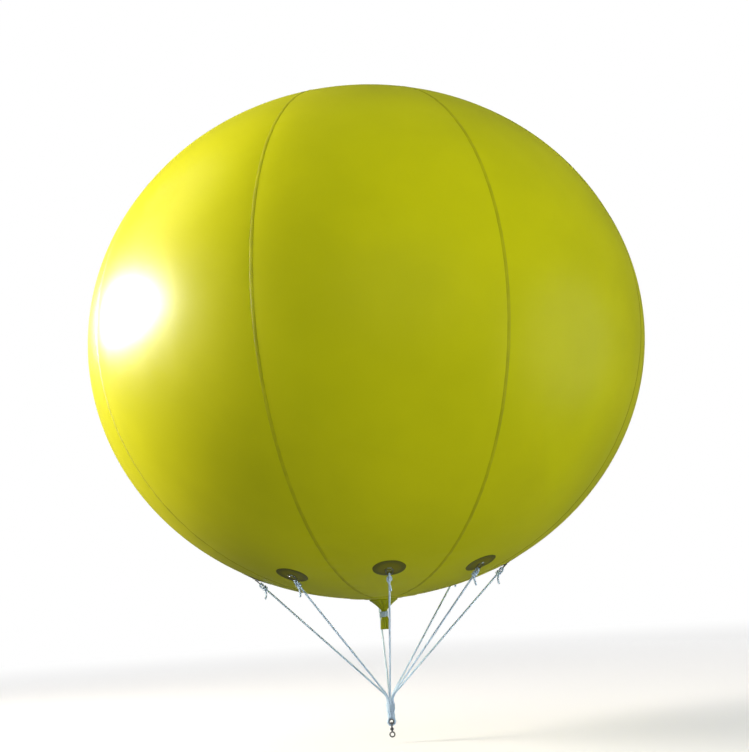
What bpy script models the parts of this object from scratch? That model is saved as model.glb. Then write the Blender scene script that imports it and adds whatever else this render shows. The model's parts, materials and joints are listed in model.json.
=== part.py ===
"""Advertising balloon: a gored PVC envelope on a bridle of eight ropes, with a swivel for its tether.

Metres, +Z up. The origin is the centre of the envelope, and the middle of gore 1 faces -Y.
Azimuths are counted from -Y towards +X. A row is the eccentric angle of the envelope's ellipse.
"""

import math

import bmesh
import bpy
from mathutils import Matrix, Vector

# General
FIT_GAP = 0.0003
RUNNING_GAP = 0.0003
CORD_SIDES = 16
SHARP_ANGLE = math.radians(35)

# Envelope
EQUATOR_RADIUS = 1.500
POLE_HEIGHT = 1.380
WALL = 0.010
GORES = 8
GORE_COLUMNS = 6
SEAM_PULL = 0.006
SEAM_SHARPNESS = 6

# Discs over the two ends of the gores
CROWN_HOLE_RADIUS = 0.060
CROWN_DISC_RADIUS = 0.170
BASE_HOLE_RADIUS = 0.075
BASE_DISC_RADIUS = 0.180
BASE_DISC_BORE = 0.064
DISC_THICKNESS = 0.003
BASE_COLLAR = 0.004
COLLAR_WIDTH = 0.024
CROWN_RISE = 0.0005

# Filling neck
NECK_TOP_RADIUS = 0.076
NECK_WALL = 0.004
NECK_SIDES = 24
NECK_PLEATS = 12
TIE_TOP = 0.062
TIE_BOTTOM = 0.092
TIE_TURNS = 7
TIE_CORD = 0.004

# Rope patches
PATCH_RING_RADIUS = 0.669
PATCH_RADIUS = 0.0825
PATCH_THICKNESS = 0.003
PATCH_RIM = 0.010
PATCH_SIDES = 14
STRAP_WIDTH = 0.022
STRAP_THICKNESS = 0.002
STRAP_FOOT = 0.020
STRAP_SINK = 0.0012
STRAP_ARCH_STEPS = 5

# D-rings on the patches
RING_WIRE_RADIUS = 0.0025
RING_HALF_WIDTH = 0.0185
RING_LENGTH = 0.038

# Bridle ropes
ROPE_RADIUS = 0.0055
ROPE_EYE_RADIUS = 0.0085
KNOT_RADIUS = 0.0155
KNOT_LENGTH = 0.026
KNOT_LAP = 0.001
RUN_START = 0.7
TAIL_START = 0.4
TAIL_RUN = Vector((0.004, -0.006, -0.042))
GATHER_HEIGHT = -1.917
GATHER_BEND = 0.030
BEND_POINTS = 3

# Bundle, whipping and eye below the bridle
BUNDLE_LENGTH = 0.083
BUNDLE_TWIST = math.radians(105)
BUNDLE_SECTIONS = 7
BUNDLE_GROOVE = 0.86
WHIPPING_TOP = 0.006
WHIPPING_LENGTH = 0.044
WHIPPING_TURNS = 10
WHIPPING_CORD = 0.0044
EYE_RADIUS = 0.0175
EYE_ROPE_RADIUS = 0.0078
THIMBLE_WALL = 0.0020
THIMBLE_WRAP = math.radians(62)

# Swivel
BOW_WIRE_RADIUS = 0.0030
BOW_HALF_WIDTH = 0.0160
BOW_LENGTH = 0.035
BOW_CROWN = 0.7
BOW_SHOULDER = 0.008
BARREL_RADIUS = 0.0095
BARREL_LENGTH = 0.010
SHANK_RADIUS = 0.0045
SHANK_HEAD_RADIUS = 0.0075
SHANK_HEAD_HEIGHT = 0.003
SHANK_DROP = 0.0055
SHANK_LAP = 0.006
TETHER_HOLE_RADIUS = 0.009
TETHER_RING_RADIUS = 0.016
TETHER_RING_THICKNESS = 0.010
TETHER_RING_CHAMFER = 0.0015

GORE_ANGLE = 2 * math.pi / GORES
COLUMNS = GORES * GORE_COLUMNS
STRAND_CIRCLE = (ROPE_RADIUS + FIT_GAP / 2) / math.sin(GORE_ANGLE / 2)
BUNDLE_RADIUS = STRAND_CIRCLE + ROPE_RADIUS
EYE_HEIGHT = GATHER_HEIGHT - BUNDLE_LENGTH - EYE_RADIUS

# Neck's outline: depth below the base disc, outer radius, share of the pleats
NECK_OUTLINE = [
    (0.000, NECK_TOP_RADIUS, 0.0),
    (0.006, 0.070, 0.3),
    (0.018, 0.054, 0.7),
    (0.042, 0.029, 1.0),
    (0.060, 0.0155, 1.0),
    (0.094, 0.0155, 1.0),
    (0.106, 0.0205, 1.0),
    (0.158, 0.0225, 1.0),
]
NECK_CAVITY_ROWS = 4
NECK_CAVITY_TIP = 0.006
NECK_PLEAT_DEPTH = 0.10

# Colours: red, green, blue, roughness, metallic
FINISHES = {
    "film": (0.40, 0.42, 0.01, 0.22, 0.0),
    "film_patch": (0.10, 0.10, 0.01, 0.35, 0.0),
    "rope": (0.62, 0.70, 0.82, 0.75, 0.0),
    "steel": (0.45, 0.46, 0.48, 0.30, 1.0),
}


def clear_scene():
    for obj in list(bpy.data.objects):
        bpy.data.objects.remove(obj)


def finish(name, kind):
    """A material of the named finish for one piece."""
    red, green, blue, roughness, metallic = FINISHES[kind]
    material = bpy.data.materials.new(name)
    material.use_nodes = True
    shader = material.node_tree.nodes["Principled BSDF"]
    shader.inputs["Base Color"].default_value = (red, green, blue, 1)
    shader.inputs["Roughness"].default_value = roughness
    shader.inputs["Metallic"].default_value = metallic
    return material


def add_piece(name, mesh, kind):
    """Put a mesh into the scene as one named piece with its own material."""
    mesh.name = name
    obj = bpy.data.objects.new(name, mesh)
    bpy.context.collection.objects.link(obj)
    mesh.materials.clear()
    mesh.materials.append(finish(name, kind))
    mesh.shade_smooth()
    mesh.set_sharp_from_angle(angle=SHARP_ANGLE)
    return obj


def mesh_of(bm):
    """Turn a closed bmesh into a mesh whose faces point outwards."""
    bmesh.ops.recalc_face_normals(bm, faces=bm.faces)
    mesh = bpy.data.meshes.new("shape")
    bm.to_mesh(mesh)
    bm.free()
    return mesh


def loft(rings, closed=False):
    """A skin through rings of points. It is capped at both ends, or joined end to end when closed."""
    bm = bmesh.new()
    loops = [[bm.verts.new(point) for point in ring] for ring in rings]
    pairs = list(zip(loops, loops[1:]))
    if closed:
        pairs.append((loops[-1], loops[0]))
    else:
        bm.faces.new(loops[0])
        bm.faces.new(loops[-1])
    for first, second in pairs:
        for k in range(len(first)):
            j = (k + 1) % len(first)
            bm.faces.new((first[k], first[j], second[j], second[k]))
    return mesh_of(bm)


def revolved(profile, sides, ring=False):
    """A profile of (radius, height) turned about Z. A ring's profile is closed, any other ends on the axis."""
    bm = bmesh.new()
    points = [bm.verts.new((0, -radius, height)) for radius, height in profile]
    edges = [bm.edges.new(pair) for pair in zip(points, points[1:])]
    if ring:
        edges.append(bm.edges.new((points[-1], points[0])))
    bmesh.ops.spin(
        bm, geom=points + edges, cent=(0, 0, 0), axis=(0, 0, 1), angle=2 * math.pi, steps=sides, use_merge=True
    )
    bmesh.ops.remove_doubles(bm, verts=bm.verts, dist=1e-6)
    return mesh_of(bm)


def tube(points, radius, resolution=2, cyclic=False):
    """A round bar along straight runs between points, with capped ends unless it is cyclic."""
    curve = bpy.data.curves.new("path", "CURVE")
    curve.dimensions = "3D"
    curve.bevel_depth = radius
    curve.bevel_resolution = resolution
    curve.use_fill_caps = not cyclic
    spline = curve.splines.new("POLY")
    spline.points.add(len(points) - 1)
    for place, point in zip(spline.points, points):
        place.co = (*point, 1)
    spline.use_cyclic_u = cyclic
    holder = bpy.data.objects.new("path", curve)
    mesh = bpy.data.meshes.new_from_object(holder)
    bpy.data.objects.remove(holder)
    bm = bmesh.new()
    bm.from_mesh(mesh)
    bmesh.ops.remove_doubles(bm, verts=bm.verts, dist=1e-6)
    return mesh_of(bm)


def united(meshes):
    """One body made of several closed meshes that run into each other."""
    holders = [bpy.data.objects.new("part", mesh) for mesh in meshes]
    for holder in holders:
        bpy.context.collection.objects.link(holder)
    for other in holders[1:]:
        union = holders[0].modifiers.new("union", "BOOLEAN")
        union.operation = "UNION"
        union.solver = "EXACT"
        union.object = other
    graph = bpy.context.evaluated_depsgraph_get()
    mesh = bpy.data.meshes.new_from_object(holders[0].evaluated_get(graph))
    for holder in holders:
        bpy.data.objects.remove(holder)
    return mesh


def row_at(radius):
    """The row where the envelope has this radius, as a positive angle."""
    return math.acos(radius / EQUATOR_RADIUS)


def on_envelope(azimuth, row, depth=0.0):
    """A point of the envelope's skin, or depth below it. The film is pulled in towards each seam."""
    from_middle = (azimuth / GORE_ANGLE + 0.5) % 1 - 0.5
    pull = SEAM_PULL / EQUATOR_RADIUS * abs(2 * from_middle) ** SEAM_SHARPNESS
    radius = (EQUATOR_RADIUS - depth) * math.cos(row) * (1 - pull)
    height = (POLE_HEIGHT - depth) * math.sin(row)
    return Vector((radius * math.sin(azimuth), -radius * math.cos(azimuth), height))


def pole_point(radius, side, depth=0.0):
    """(radius, height) on the envelope's ellipse above (side 1) or below (side -1) the equator."""
    row = row_at(radius)
    return (EQUATOR_RADIUS - depth) * math.cos(row), side * (POLE_HEIGHT - depth) * math.sin(row)


def gore_rows():
    """The gore's rows from the base hole up to the crown hole, with one under each disc's rim and the patch."""
    stops = [  # row, steps up to the next stop
        (-row_at(BASE_HOLE_RADIUS), 1),
        (-row_at(BASE_DISC_RADIUS), 3),
        (-row_at(PATCH_RING_RADIUS), 7),
        (0, 9),
        (row_at(CROWN_DISC_RADIUS), 1),
        (row_at(CROWN_HOLE_RADIUS), 0),
    ]
    rows = []
    for (start, steps), (end, _) in zip(stops, stops[1:]):
        rows += [start + (end - start) * k / steps for k in range(steps)]
    return rows + [stops[-1][0]]


def gore_mesh():
    """The first gore: a strip of film between two seams, as thick as the wall, open at both of its ends."""
    rings = []
    for row in gore_rows():
        ring = []
        for depth, order in ((0, range(GORE_COLUMNS + 1)), (WALL, range(GORE_COLUMNS, -1, -1))):
            inset = FIT_GAP / 2 / ((EQUATOR_RADIUS - depth) * math.cos(row))
            for k in order:
                share = 2 * k / GORE_COLUMNS - 1
                ring.append(on_envelope(share * (GORE_ANGLE / 2 - inset), row, depth))
        rings.append(ring)
    return loft(rings)


def crown_disc_mesh():
    """The disc that closes the top: it lies over the gores' tips."""
    inner = [pole_point(radius, 1, -FIT_GAP) for radius in (CROWN_DISC_RADIUS, CROWN_HOLE_RADIUS)]
    outer = [pole_point(radius, 1, -FIT_GAP - DISC_THICKNESS) for radius in (CROWN_DISC_RADIUS, CROWN_HOLE_RADIUS)]
    below = [(0, inner[1][1])] + inner[::-1]
    above = outer + [(0, outer[1][1] + CROWN_RISE)]
    return revolved(below + above, COLUMNS)


def base_collar_height():
    """The flat underside of the base disc, where the neck is welded on."""
    return pole_point(BASE_HOLE_RADIUS, -1)[1] - FIT_GAP - BASE_COLLAR


def base_disc_mesh():
    """The ring round the bottom hole, with a flat collar for the neck."""
    hole = pole_point(BASE_HOLE_RADIUS, -1, -FIT_GAP)
    rim = pole_point(BASE_DISC_RADIUS, -1, -FIT_GAP)
    rim_below = pole_point(BASE_DISC_RADIUS, -1, -FIT_GAP - DISC_THICKNESS)
    collar = base_collar_height()
    profile = [
        (BASE_DISC_BORE, hole[1]),
        hole,
        rim,
        rim_below,
        (BASE_DISC_BORE + COLLAR_WIDTH, collar),
        (BASE_DISC_BORE, collar),
    ]
    return revolved(profile, COLUMNS, ring=True)


def neck_mesh():
    """The gathered filling neck: a pleated cone, hollow down to the tie, and a closed tail below it."""
    top = base_collar_height() - FIT_GAP
    outside = [(radius, top - depth) for depth, radius, _ in NECK_OUTLINE]
    cavity = [(radius - NECK_WALL, height) for radius, height in outside[:NECK_CAVITY_ROWS]]
    bottom = (0, cavity[-1][1] - NECK_CAVITY_TIP)
    mesh = revolved([bottom] + cavity[::-1] + outside + [(0, outside[-1][1])], NECK_SIDES)
    shares = [(top - depth, share) for depth, _, share in NECK_OUTLINE]
    for vertex in mesh.vertices:
        x, y, height = vertex.co
        share = pleat_share(height, shares)
        fold = 1 + NECK_PLEAT_DEPTH * share * math.cos(NECK_PLEATS * math.atan2(x, -y))
        vertex.co = (x * fold, y * fold, height)
    return mesh


def pleat_share(height, shares):
    """How much of the pleats' depth applies at a height, between the rows of the neck's outline."""
    for (upper, first), (lower, second) in zip(shares, shares[1:]):
        if height >= lower:
            return first + (second - first) * (upper - height) / (upper - lower)
    return shares[-1][1]


def wound_cord(core, cord, length, turns):
    """A ring's profile round a core, with a flat inside and one bulge for each turn of the cord."""
    inner = (core + FIT_GAP) / math.cos(math.pi / CORD_SIDES)
    pitch = length / turns
    profile = [(inner, 0), (inner, -length)]
    for k in reversed(range(turns)):
        profile.append((inner + cord * 0.5, -pitch * (k + 1)))
        profile.append((inner + cord, -pitch * (k + 0.5)))
    return profile + [(inner + cord * 0.5, 0)]


def neck_tie_mesh():
    """The cord wound round the neck's waist."""
    top = base_collar_height() - FIT_GAP - TIE_TOP
    waist = NECK_OUTLINE[4][1] * (1 + NECK_PLEAT_DEPTH)
    profile = wound_cord(waist, TIE_CORD, TIE_BOTTOM - TIE_TOP, TIE_TURNS)
    return revolved([(radius, top + height) for radius, height in profile], CORD_SIDES, ring=True)


class Station:
    """Where the first rope leaves the envelope: the patch's centre and the directions of what is fixed there."""

    def __init__(self):
        self.centre = on_envelope(0, -row_at(PATCH_RING_RADIUS))
        self.along = Vector((1, 0, 0))
        self.normal = Vector((0, self.centre.y / EQUATOR_RADIUS**2, self.centre.z / POLE_HEIGHT**2)).normalized()
        self.down = self.normal.cross(self.along)
        self.bar = self.centre + self.normal * (FIT_GAP + PATCH_THICKNESS + FIT_GAP + RING_WIRE_RADIUS)
        self.gather = Vector((0, -STRAND_CIRCLE, GATHER_HEIGHT + GATHER_BEND))
        self.pull = (self.gather - self.bar).normalized()

    def on_skin(self, sideways, downwards, lift):
        """A point over the envelope, measured in the patch's own plane and lifted off the skin."""
        start = self.centre + self.along * sideways + self.down * downwards
        scale = Vector((1 / EQUATOR_RADIUS, 1 / EQUATOR_RADIUS, 1 / POLE_HEIGHT))
        base, step = start * scale, self.normal * scale
        a, b, c = step.dot(step), base.dot(step), base.dot(base) - 1
        return start + self.normal * ((-b + math.sqrt(b * b - a * c)) / a + lift)


def patch_mesh(station):
    """A round patch that follows the skin, with a strap bridging over the ring's straight bar."""
    bm = bmesh.new()
    rings = []
    for radius, lift in (
        (PATCH_RADIUS, FIT_GAP),
        (PATCH_RADIUS, FIT_GAP + PATCH_THICKNESS * 0.4),
        (PATCH_RADIUS - PATCH_RIM, FIT_GAP + PATCH_THICKNESS),
    ):
        ring = []
        for k in range(PATCH_SIDES):
            turn = 2 * math.pi * k / PATCH_SIDES
            ring.append(bm.verts.new(station.on_skin(radius * math.cos(turn), radius * math.sin(turn), lift)))
        rings.append(ring)
    under = bm.verts.new(station.on_skin(0, 0, FIT_GAP))
    over = bm.verts.new(station.on_skin(0, 0, FIT_GAP + PATCH_THICKNESS))
    for k in range(PATCH_SIDES):
        j = (k + 1) % PATCH_SIDES
        bm.faces.new((under, rings[0][k], rings[0][j]))
        bm.faces.new((over, rings[2][k], rings[2][j]))
        for first, second in zip(rings, rings[1:]):
            bm.faces.new((first[k], first[j], second[j], second[k]))
    return united([mesh_of(bm), strap_mesh(station)])


def strap_mesh(station):
    """The bridge of webbing: an arch over the bar with a foot on either side, sunk a little into the patch."""
    inner = RING_WIRE_RADIUS + FIT_GAP
    outer = inner + STRAP_THICKNESS
    floor = -inner - STRAP_SINK
    top_of_foot = -inner + STRAP_THICKNESS
    arch = [math.pi * k / STRAP_ARCH_STEPS for k in range(STRAP_ARCH_STEPS + 1)]
    outline = [(-STRAP_FOOT, floor), (-STRAP_FOOT, top_of_foot), (-outer, top_of_foot)]
    outline += [(-outer * math.cos(turn), outer * math.sin(turn)) for turn in arch]
    outline += [(outer, top_of_foot), (STRAP_FOOT, top_of_foot), (STRAP_FOOT, floor), (inner, floor)]
    outline += [(inner * math.cos(turn), inner * math.sin(turn)) for turn in arch]
    outline += [(-inner, floor)]
    rings = []
    for side in (-STRAP_WIDTH / 2, STRAP_WIDTH / 2):
        middle = station.bar + station.along * side
        rings.append([middle + station.down * across + station.normal * lift for across, lift in outline])
    return loft(rings)


def ring_mesh(station):
    """A D-ring: its straight bar lies under the strap, its bow points along the rope's pull."""
    path = [station.bar - station.along * RING_HALF_WIDTH, station.bar + station.along * RING_HALF_WIDTH]
    for k in range(1, 8):
        turn = math.pi * k / 8
        path.append(
            station.bar
            + station.along * RING_HALF_WIDTH * math.cos(turn)
            + station.pull * RING_LENGTH * math.sin(turn) ** 0.8
        )
    return tube(path, RING_WIRE_RADIUS, resolution=1, cyclic=True)


def rope_mesh(station):
    """One bridle rope: an eye round the ring's bow, a knot with a short tail, and the run to the bundle."""
    across = station.along.cross(station.pull).normalized()
    near_side = RING_LENGTH - RING_WIRE_RADIUS - ROPE_RADIUS - FIT_GAP
    eye = station.bar + station.pull * (near_side + ROPE_EYE_RADIUS)
    loop = []
    for k in range(8):
        turn = 2 * math.pi * k / 8
        loop.append(eye + (station.pull * math.cos(turn) + across * math.sin(turn)) * ROPE_EYE_RADIUS)
    knot_start = eye + station.pull * (ROPE_EYE_RADIUS - KNOT_LAP)
    knot_end = knot_start + station.pull * KNOT_LENGTH
    tail_start = knot_start.lerp(knot_end, TAIL_START)
    tail = [tail_start, tail_start + TAIL_RUN]
    end = Vector((0, -STRAND_CIRCLE, GATHER_HEIGHT + FIT_GAP))
    bend_start = station.gather - station.pull * GATHER_BEND
    bend_end = end + Vector((0, 0, GATHER_BEND * 0.25))
    run = [knot_start.lerp(knot_end, RUN_START)]
    for k in range(BEND_POINTS + 1):
        share = k / BEND_POINTS
        first = bend_start.lerp(station.gather, share)
        run.append(first.lerp(station.gather.lerp(bend_end, share), share))
    run.append(end)
    pieces = [
        tube([knot_start, knot_end], KNOT_RADIUS),
        tube(run, ROPE_RADIUS),
        tube(loop, ROPE_RADIUS, resolution=1, cyclic=True),
        tube(tail, ROPE_RADIUS, resolution=1),
    ]
    return united(pieces)


def bundle_mesh():
    """The strands below the gathering point laid up as one, ending in an eye for the swivel."""
    rings = []
    for k in range(BUNDLE_SECTIONS):
        share = k / (BUNDLE_SECTIONS - 1)
        ring = []
        for side in range(2 * GORES):
            radius = BUNDLE_RADIUS if side % 2 == 0 else BUNDLE_RADIUS * BUNDLE_GROOVE
            turn = GORE_ANGLE / 2 * side + BUNDLE_TWIST * share
            ring.append((radius * math.sin(turn), -radius * math.cos(turn), GATHER_HEIGHT - BUNDLE_LENGTH * share))
        rings.append(ring)
    eye = []
    for k in range(16):
        turn = 2 * math.pi * k / 16
        eye.append(Vector((EYE_RADIUS * math.cos(turn), 0, EYE_HEIGHT + EYE_RADIUS * math.sin(turn))))
    return united([loft(rings), tube(eye, EYE_ROPE_RADIUS, cyclic=True)])


def whipping_mesh():
    """The cord wound round the top of the bundle."""
    top = GATHER_HEIGHT - WHIPPING_TOP
    profile = wound_cord(BUNDLE_RADIUS, WHIPPING_CORD, WHIPPING_LENGTH, WHIPPING_TURNS)
    return revolved([(radius, top + height) for radius, height in profile], CORD_SIDES, ring=True)


def thimble_mesh():
    """The steel liner of the rope's eye: a channel that hugs the rope from inside, turned about the eye's axis."""
    profile = []
    angles = [math.pi + THIMBLE_WRAP * (k / 2 - 1) for k in range(5)]
    for radius, order in ((EYE_ROPE_RADIUS + FIT_GAP, angles), (EYE_ROPE_RADIUS + THIMBLE_WALL, angles[::-1])):
        profile += [(EYE_RADIUS + radius * math.cos(turn), radius * math.sin(turn)) for turn in order]
    mesh = revolved(profile, CORD_SIDES, ring=True)
    mesh.transform(Matrix.Rotation(math.radians(90), 4, "X"))
    return mesh


def bow_mesh():
    """The swivel's upper half: a bow through the thimble and a bored barrel below it."""
    hole = EYE_RADIUS - EYE_ROPE_RADIUS - THIMBLE_WALL
    top = -hole + BOW_WIRE_RADIUS + RUNNING_GAP
    foot = top - BOW_LENGTH
    rise = BOW_HALF_WIDTH * BOW_CROWN
    inside_barrel = (SHANK_RADIUS + BARREL_RADIUS) / 2 + BOW_WIRE_RADIUS / 2
    path = [Vector((0, inside_barrel, foot)), Vector((0, BOW_HALF_WIDTH, foot + BOW_SHOULDER))]
    for k in range(9):
        turn = math.pi * k / 8
        path.append(Vector((0, BOW_HALF_WIDTH * math.cos(turn), top - rise + rise * math.sin(turn))))
    path += [Vector((0, -BOW_HALF_WIDTH, foot + BOW_SHOULDER)), Vector((0, -inside_barrel, foot))]
    bore = SHANK_RADIUS + RUNNING_GAP
    half = BARREL_LENGTH / 2
    barrel = revolved(
        [(bore, foot + half), (BARREL_RADIUS, foot + half), (BARREL_RADIUS, foot - half), (bore, foot - half)],
        16,
        ring=True,
    )
    return united([barrel, tube(path, BOW_WIRE_RADIUS, resolution=1)]), foot


def tether_eye_mesh(barrel_middle):
    """The swivel's lower half: a headed shank in the barrel and a flat-cheeked eye for the tether."""
    half = BARREL_LENGTH / 2 + RUNNING_GAP
    head = barrel_middle + half
    centre = barrel_middle - half - SHANK_DROP - TETHER_RING_RADIUS
    shank_end = centre + TETHER_RING_RADIUS - SHANK_LAP
    shank = revolved(
        [
            (0, head + SHANK_HEAD_HEIGHT),
            (SHANK_HEAD_RADIUS, head + SHANK_HEAD_HEIGHT),
            (SHANK_HEAD_RADIUS, head),
            (SHANK_RADIUS, head),
            (SHANK_RADIUS, shank_end),
            (0, shank_end),
        ],
        16,
    )
    cheek = TETHER_RING_THICKNESS / 2
    shoulder = TETHER_RING_RADIUS - TETHER_RING_CHAMFER
    edge = cheek - TETHER_RING_CHAMFER
    ring = revolved(
        [
            (TETHER_HOLE_RADIUS, cheek),
            (shoulder, cheek),
            (TETHER_RING_RADIUS, edge),
            (TETHER_RING_RADIUS, -edge),
            (shoulder, -cheek),
            (TETHER_HOLE_RADIUS, -cheek),
        ],
        24,
        ring=True,
    )
    ring.transform(Matrix.Translation((0, 0, centre)) @ Matrix.Rotation(math.radians(90), 4, "X"))
    return united([ring, shank])


def add_round(name, mesh, kind):
    """Eight like pieces, one for each gore, turned about Z."""
    for k in range(GORES):
        obj = add_piece(f"{name}_{k + 1}", mesh.copy(), kind)
        obj.rotation_euler.z = k * GORE_ANGLE


def build_envelope():
    add_round("gore", gore_mesh(), "film")
    add_piece("crown_disc", crown_disc_mesh(), "film")
    add_piece("base_disc", base_disc_mesh(), "film")
    add_piece("filling_neck", neck_mesh(), "film")
    add_piece("neck_tie", neck_tie_mesh(), "rope")


def build_bridle():
    station = Station()
    add_round("rope_patch", patch_mesh(station), "film_patch")
    add_round("patch_ring", ring_mesh(station), "steel")
    add_round("bridle_rope", rope_mesh(station), "rope")
    add_piece("rope_bundle", bundle_mesh(), "rope")
    add_piece("bridle_whipping", whipping_mesh(), "rope")


def build_swivel():
    """The thimble is fixed in the rope's eye. The bow swings round it, and the tether eye spins in the bow."""
    thimble = add_piece("eye_thimble", thimble_mesh(), "steel")
    thimble.location = (0, 0, EYE_HEIGHT)
    mesh, barrel_middle = bow_mesh()
    bow = add_piece("swivel_bow", mesh, "steel")
    bow.location = (0, 0, EYE_HEIGHT)
    eye = add_piece("tether_eye", tether_eye_mesh(barrel_middle), "steel")
    eye.parent = bow


clear_scene()
build_envelope()
build_bridle()
build_swivel()
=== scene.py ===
"""Advertising balloon: the finished film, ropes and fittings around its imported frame.

Metres, +Z up. The origin is the centre of the envelope, and the middle of gore 1 faces -Y.
Azimuths are counted from -Y towards +X. A row is the eccentric angle of the envelope's ellipse.
A lift is a height over the film, along the film's normal.
"""

import json

import bpy
import numpy as np
from bpy.props import FloatProperty, FloatVectorProperty, PointerProperty
from mathutils import Matrix, Vector


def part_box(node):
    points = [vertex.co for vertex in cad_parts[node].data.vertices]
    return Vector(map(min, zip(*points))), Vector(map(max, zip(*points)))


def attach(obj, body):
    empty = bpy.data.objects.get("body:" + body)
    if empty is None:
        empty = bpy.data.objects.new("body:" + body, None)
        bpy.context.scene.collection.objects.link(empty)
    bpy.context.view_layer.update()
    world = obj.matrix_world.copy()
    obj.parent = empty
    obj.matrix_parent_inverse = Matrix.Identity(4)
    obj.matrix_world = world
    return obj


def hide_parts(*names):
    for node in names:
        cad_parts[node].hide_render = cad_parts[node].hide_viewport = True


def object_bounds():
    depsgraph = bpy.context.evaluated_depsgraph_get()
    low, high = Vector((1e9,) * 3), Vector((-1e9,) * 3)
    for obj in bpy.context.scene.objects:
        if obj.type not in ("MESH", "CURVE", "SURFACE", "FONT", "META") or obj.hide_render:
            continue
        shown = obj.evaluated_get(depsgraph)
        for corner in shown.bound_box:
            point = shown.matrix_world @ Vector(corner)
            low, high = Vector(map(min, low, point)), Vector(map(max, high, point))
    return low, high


bl_info = {
    "name": "Advertising Balloon",
    "version": (1, 0, 0),
    "blender": (4, 5, 0),
    "location": "View3D > Sidebar > Balloon",
    "description": "Builds the film, ropes and fittings of an advertising balloon around its frame",
    "category": "Object",
}

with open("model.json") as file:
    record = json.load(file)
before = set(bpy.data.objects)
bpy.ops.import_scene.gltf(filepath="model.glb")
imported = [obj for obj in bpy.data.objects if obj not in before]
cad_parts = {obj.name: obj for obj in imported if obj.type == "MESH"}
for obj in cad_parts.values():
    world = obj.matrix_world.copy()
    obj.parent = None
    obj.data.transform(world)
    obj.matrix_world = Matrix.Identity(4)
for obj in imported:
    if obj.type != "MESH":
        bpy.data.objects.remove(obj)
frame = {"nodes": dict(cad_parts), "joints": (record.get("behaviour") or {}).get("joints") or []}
CAD_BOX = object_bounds()

# What the frame fixes
GORES = sum(name.startswith("gore_") for name in frame["nodes"])
GORE_ANGLE = 2 * np.pi / GORES
JOINTS = {joint["name"]: joint for joint in frame["joints"]}
EYE_HEIGHT = JOINTS["swivel_swing"]["pos_m"][2]
GATHER_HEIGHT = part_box("rope_bundle")[1].z
COLLAR_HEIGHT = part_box("base_disc")[0].z
NECK_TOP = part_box("filling_neck")[1].z
BODY = "balloon"
FIT_GAP = 0.0003
SHARP_ANGLE = np.radians(40)

# Envelope
SEAM_SHARPNESS = 6
CROWN_HOLE_RADIUS = 0.060
CROWN_DISC_RADIUS = 0.170
CROWN_MIDDLE_RADIUS = 0.004
BASE_HOLE_RADIUS = 0.075
BASE_DISC_RADIUS = 0.180
BASE_DISC_BORE = 0.064
COLLAR_RADIUS = 0.088
GORE_ROWS = 240
GORE_COLUMNS = 36
WELD_COLUMNS = 9
WELD_LIFT = 0.0001
WELD_END_GAP = 0.001
WELD_END_DROP = 0.8
SEED = 11

# Discs, with two rings pressed in by the heat weld, counted inwards from the rim, and ridges over the seams
DISC_THICKNESS = 0.0020
DISC_EDGE = 0.003
DISC_EDGE_INSETS = 0.002 * np.array([2, 1.2, 0.6, 0.2, 0])
WELD_RING_INSETS = (0.012, 0.030)
WELD_RING_WIDTH = 0.002
WELD_RING_DEPTH = 0.0005
RIDGE_WIDTH = 0.010
RIDGE_HEIGHT = 0.0006

# Ripples along the seams: wavelength, height as a share of the puckers' height
SEAM_RIPPLES = np.array([(0.062, 0.30), (0.085, 0.38), (0.130, 0.40), (0.210, 0.32)])
RIPPLE_PHASES = np.random.default_rng(SEED).uniform(0, 2 * np.pi, (GORES, len(SEAM_RIPPLES)))
RIPPLE_REACH = 0.050
# Ripples round the ends: how many round, height as a share of the puckers' height
END_RIPPLES = np.array([(17, 0.10), (29, 0.13), (44, 0.12), (61, 0.08)])
END_PHASES = np.random.default_rng(SEED + 1).uniform(0, 2 * np.pi, (2, len(END_RIPPLES)))
END_REACH = 0.090

# Filling neck: depth below the collar, radius, share of the pleats
NECK_OUTLINE = np.array([
    (0.000, 0.0740, 0.00),
    (0.003, 0.0762, 0.02),
    (0.008, 0.0700, 0.30),
    (0.018, 0.0545, 0.70),
    (0.030, 0.0400, 0.95),
    (0.042, 0.0290, 1.00),
    (0.056, 0.0165, 0.90),
    (0.062, 0.0152, 0.60),
    (0.092, 0.0152, 0.60),
    (0.098, 0.0172, 1.00),
    (0.112, 0.0205, 1.30),
    (0.135, 0.0218, 1.60),
    (0.158, 0.0225, 1.90),
])
NECK_FILM = 0.0007
PLEATS = 12
PLEAT_HEIGHT = 0.10
# Sway of the pleats out of their even places: height, waves round the neck, phase
PLEAT_SWAY = ((0.16, 2, 0.7), (0.10, 5, 2.1))
# Depths where the neck is closed inside, above and below its tie, and how it opens from there in shares
NECK_CLOSED_ABOVE = 0.060
NECK_CLOSED_BELOW = 0.100
NECK_OPENING = np.array([0.02, 0.35, 0.65, 0.9])
NECK_TIE_TOP = 0.062
NECK_TIE_BOTTOM = 0.092
NECK_WAIST = 0.0171
TIE_CORD_RADIUS = 0.0020

# Rope patch: its places are shares of its radius, and its rim's thickness a share of the middle's
PATCH_RINGS = np.concatenate([np.linspace(0.02, 0.955, 30), [0.975, 0.99, 1.0]])
PATCH_CROWN_START = 0.30
PATCH_CROWN_END = 0.86
PATCH_RIM = 0.36
PATCH_EDGE = 0.03
PATCH_BEAD_PLACE = 0.84
PATCH_BEAD_WIDTH = 0.02
PATCH_BEAD_HEIGHT = 0.0004
# Strap: how far beside the ring's bar it lies flat
STRAP_HEEL = 0.002
# Stitching: its boxes' distance from the bar and from the strap's end, and their half width in strap widths
STITCHED_FROM = 0.0075
STITCHED_MARGIN = 0.0025
STITCHED_WIDTH = 0.36
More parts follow.
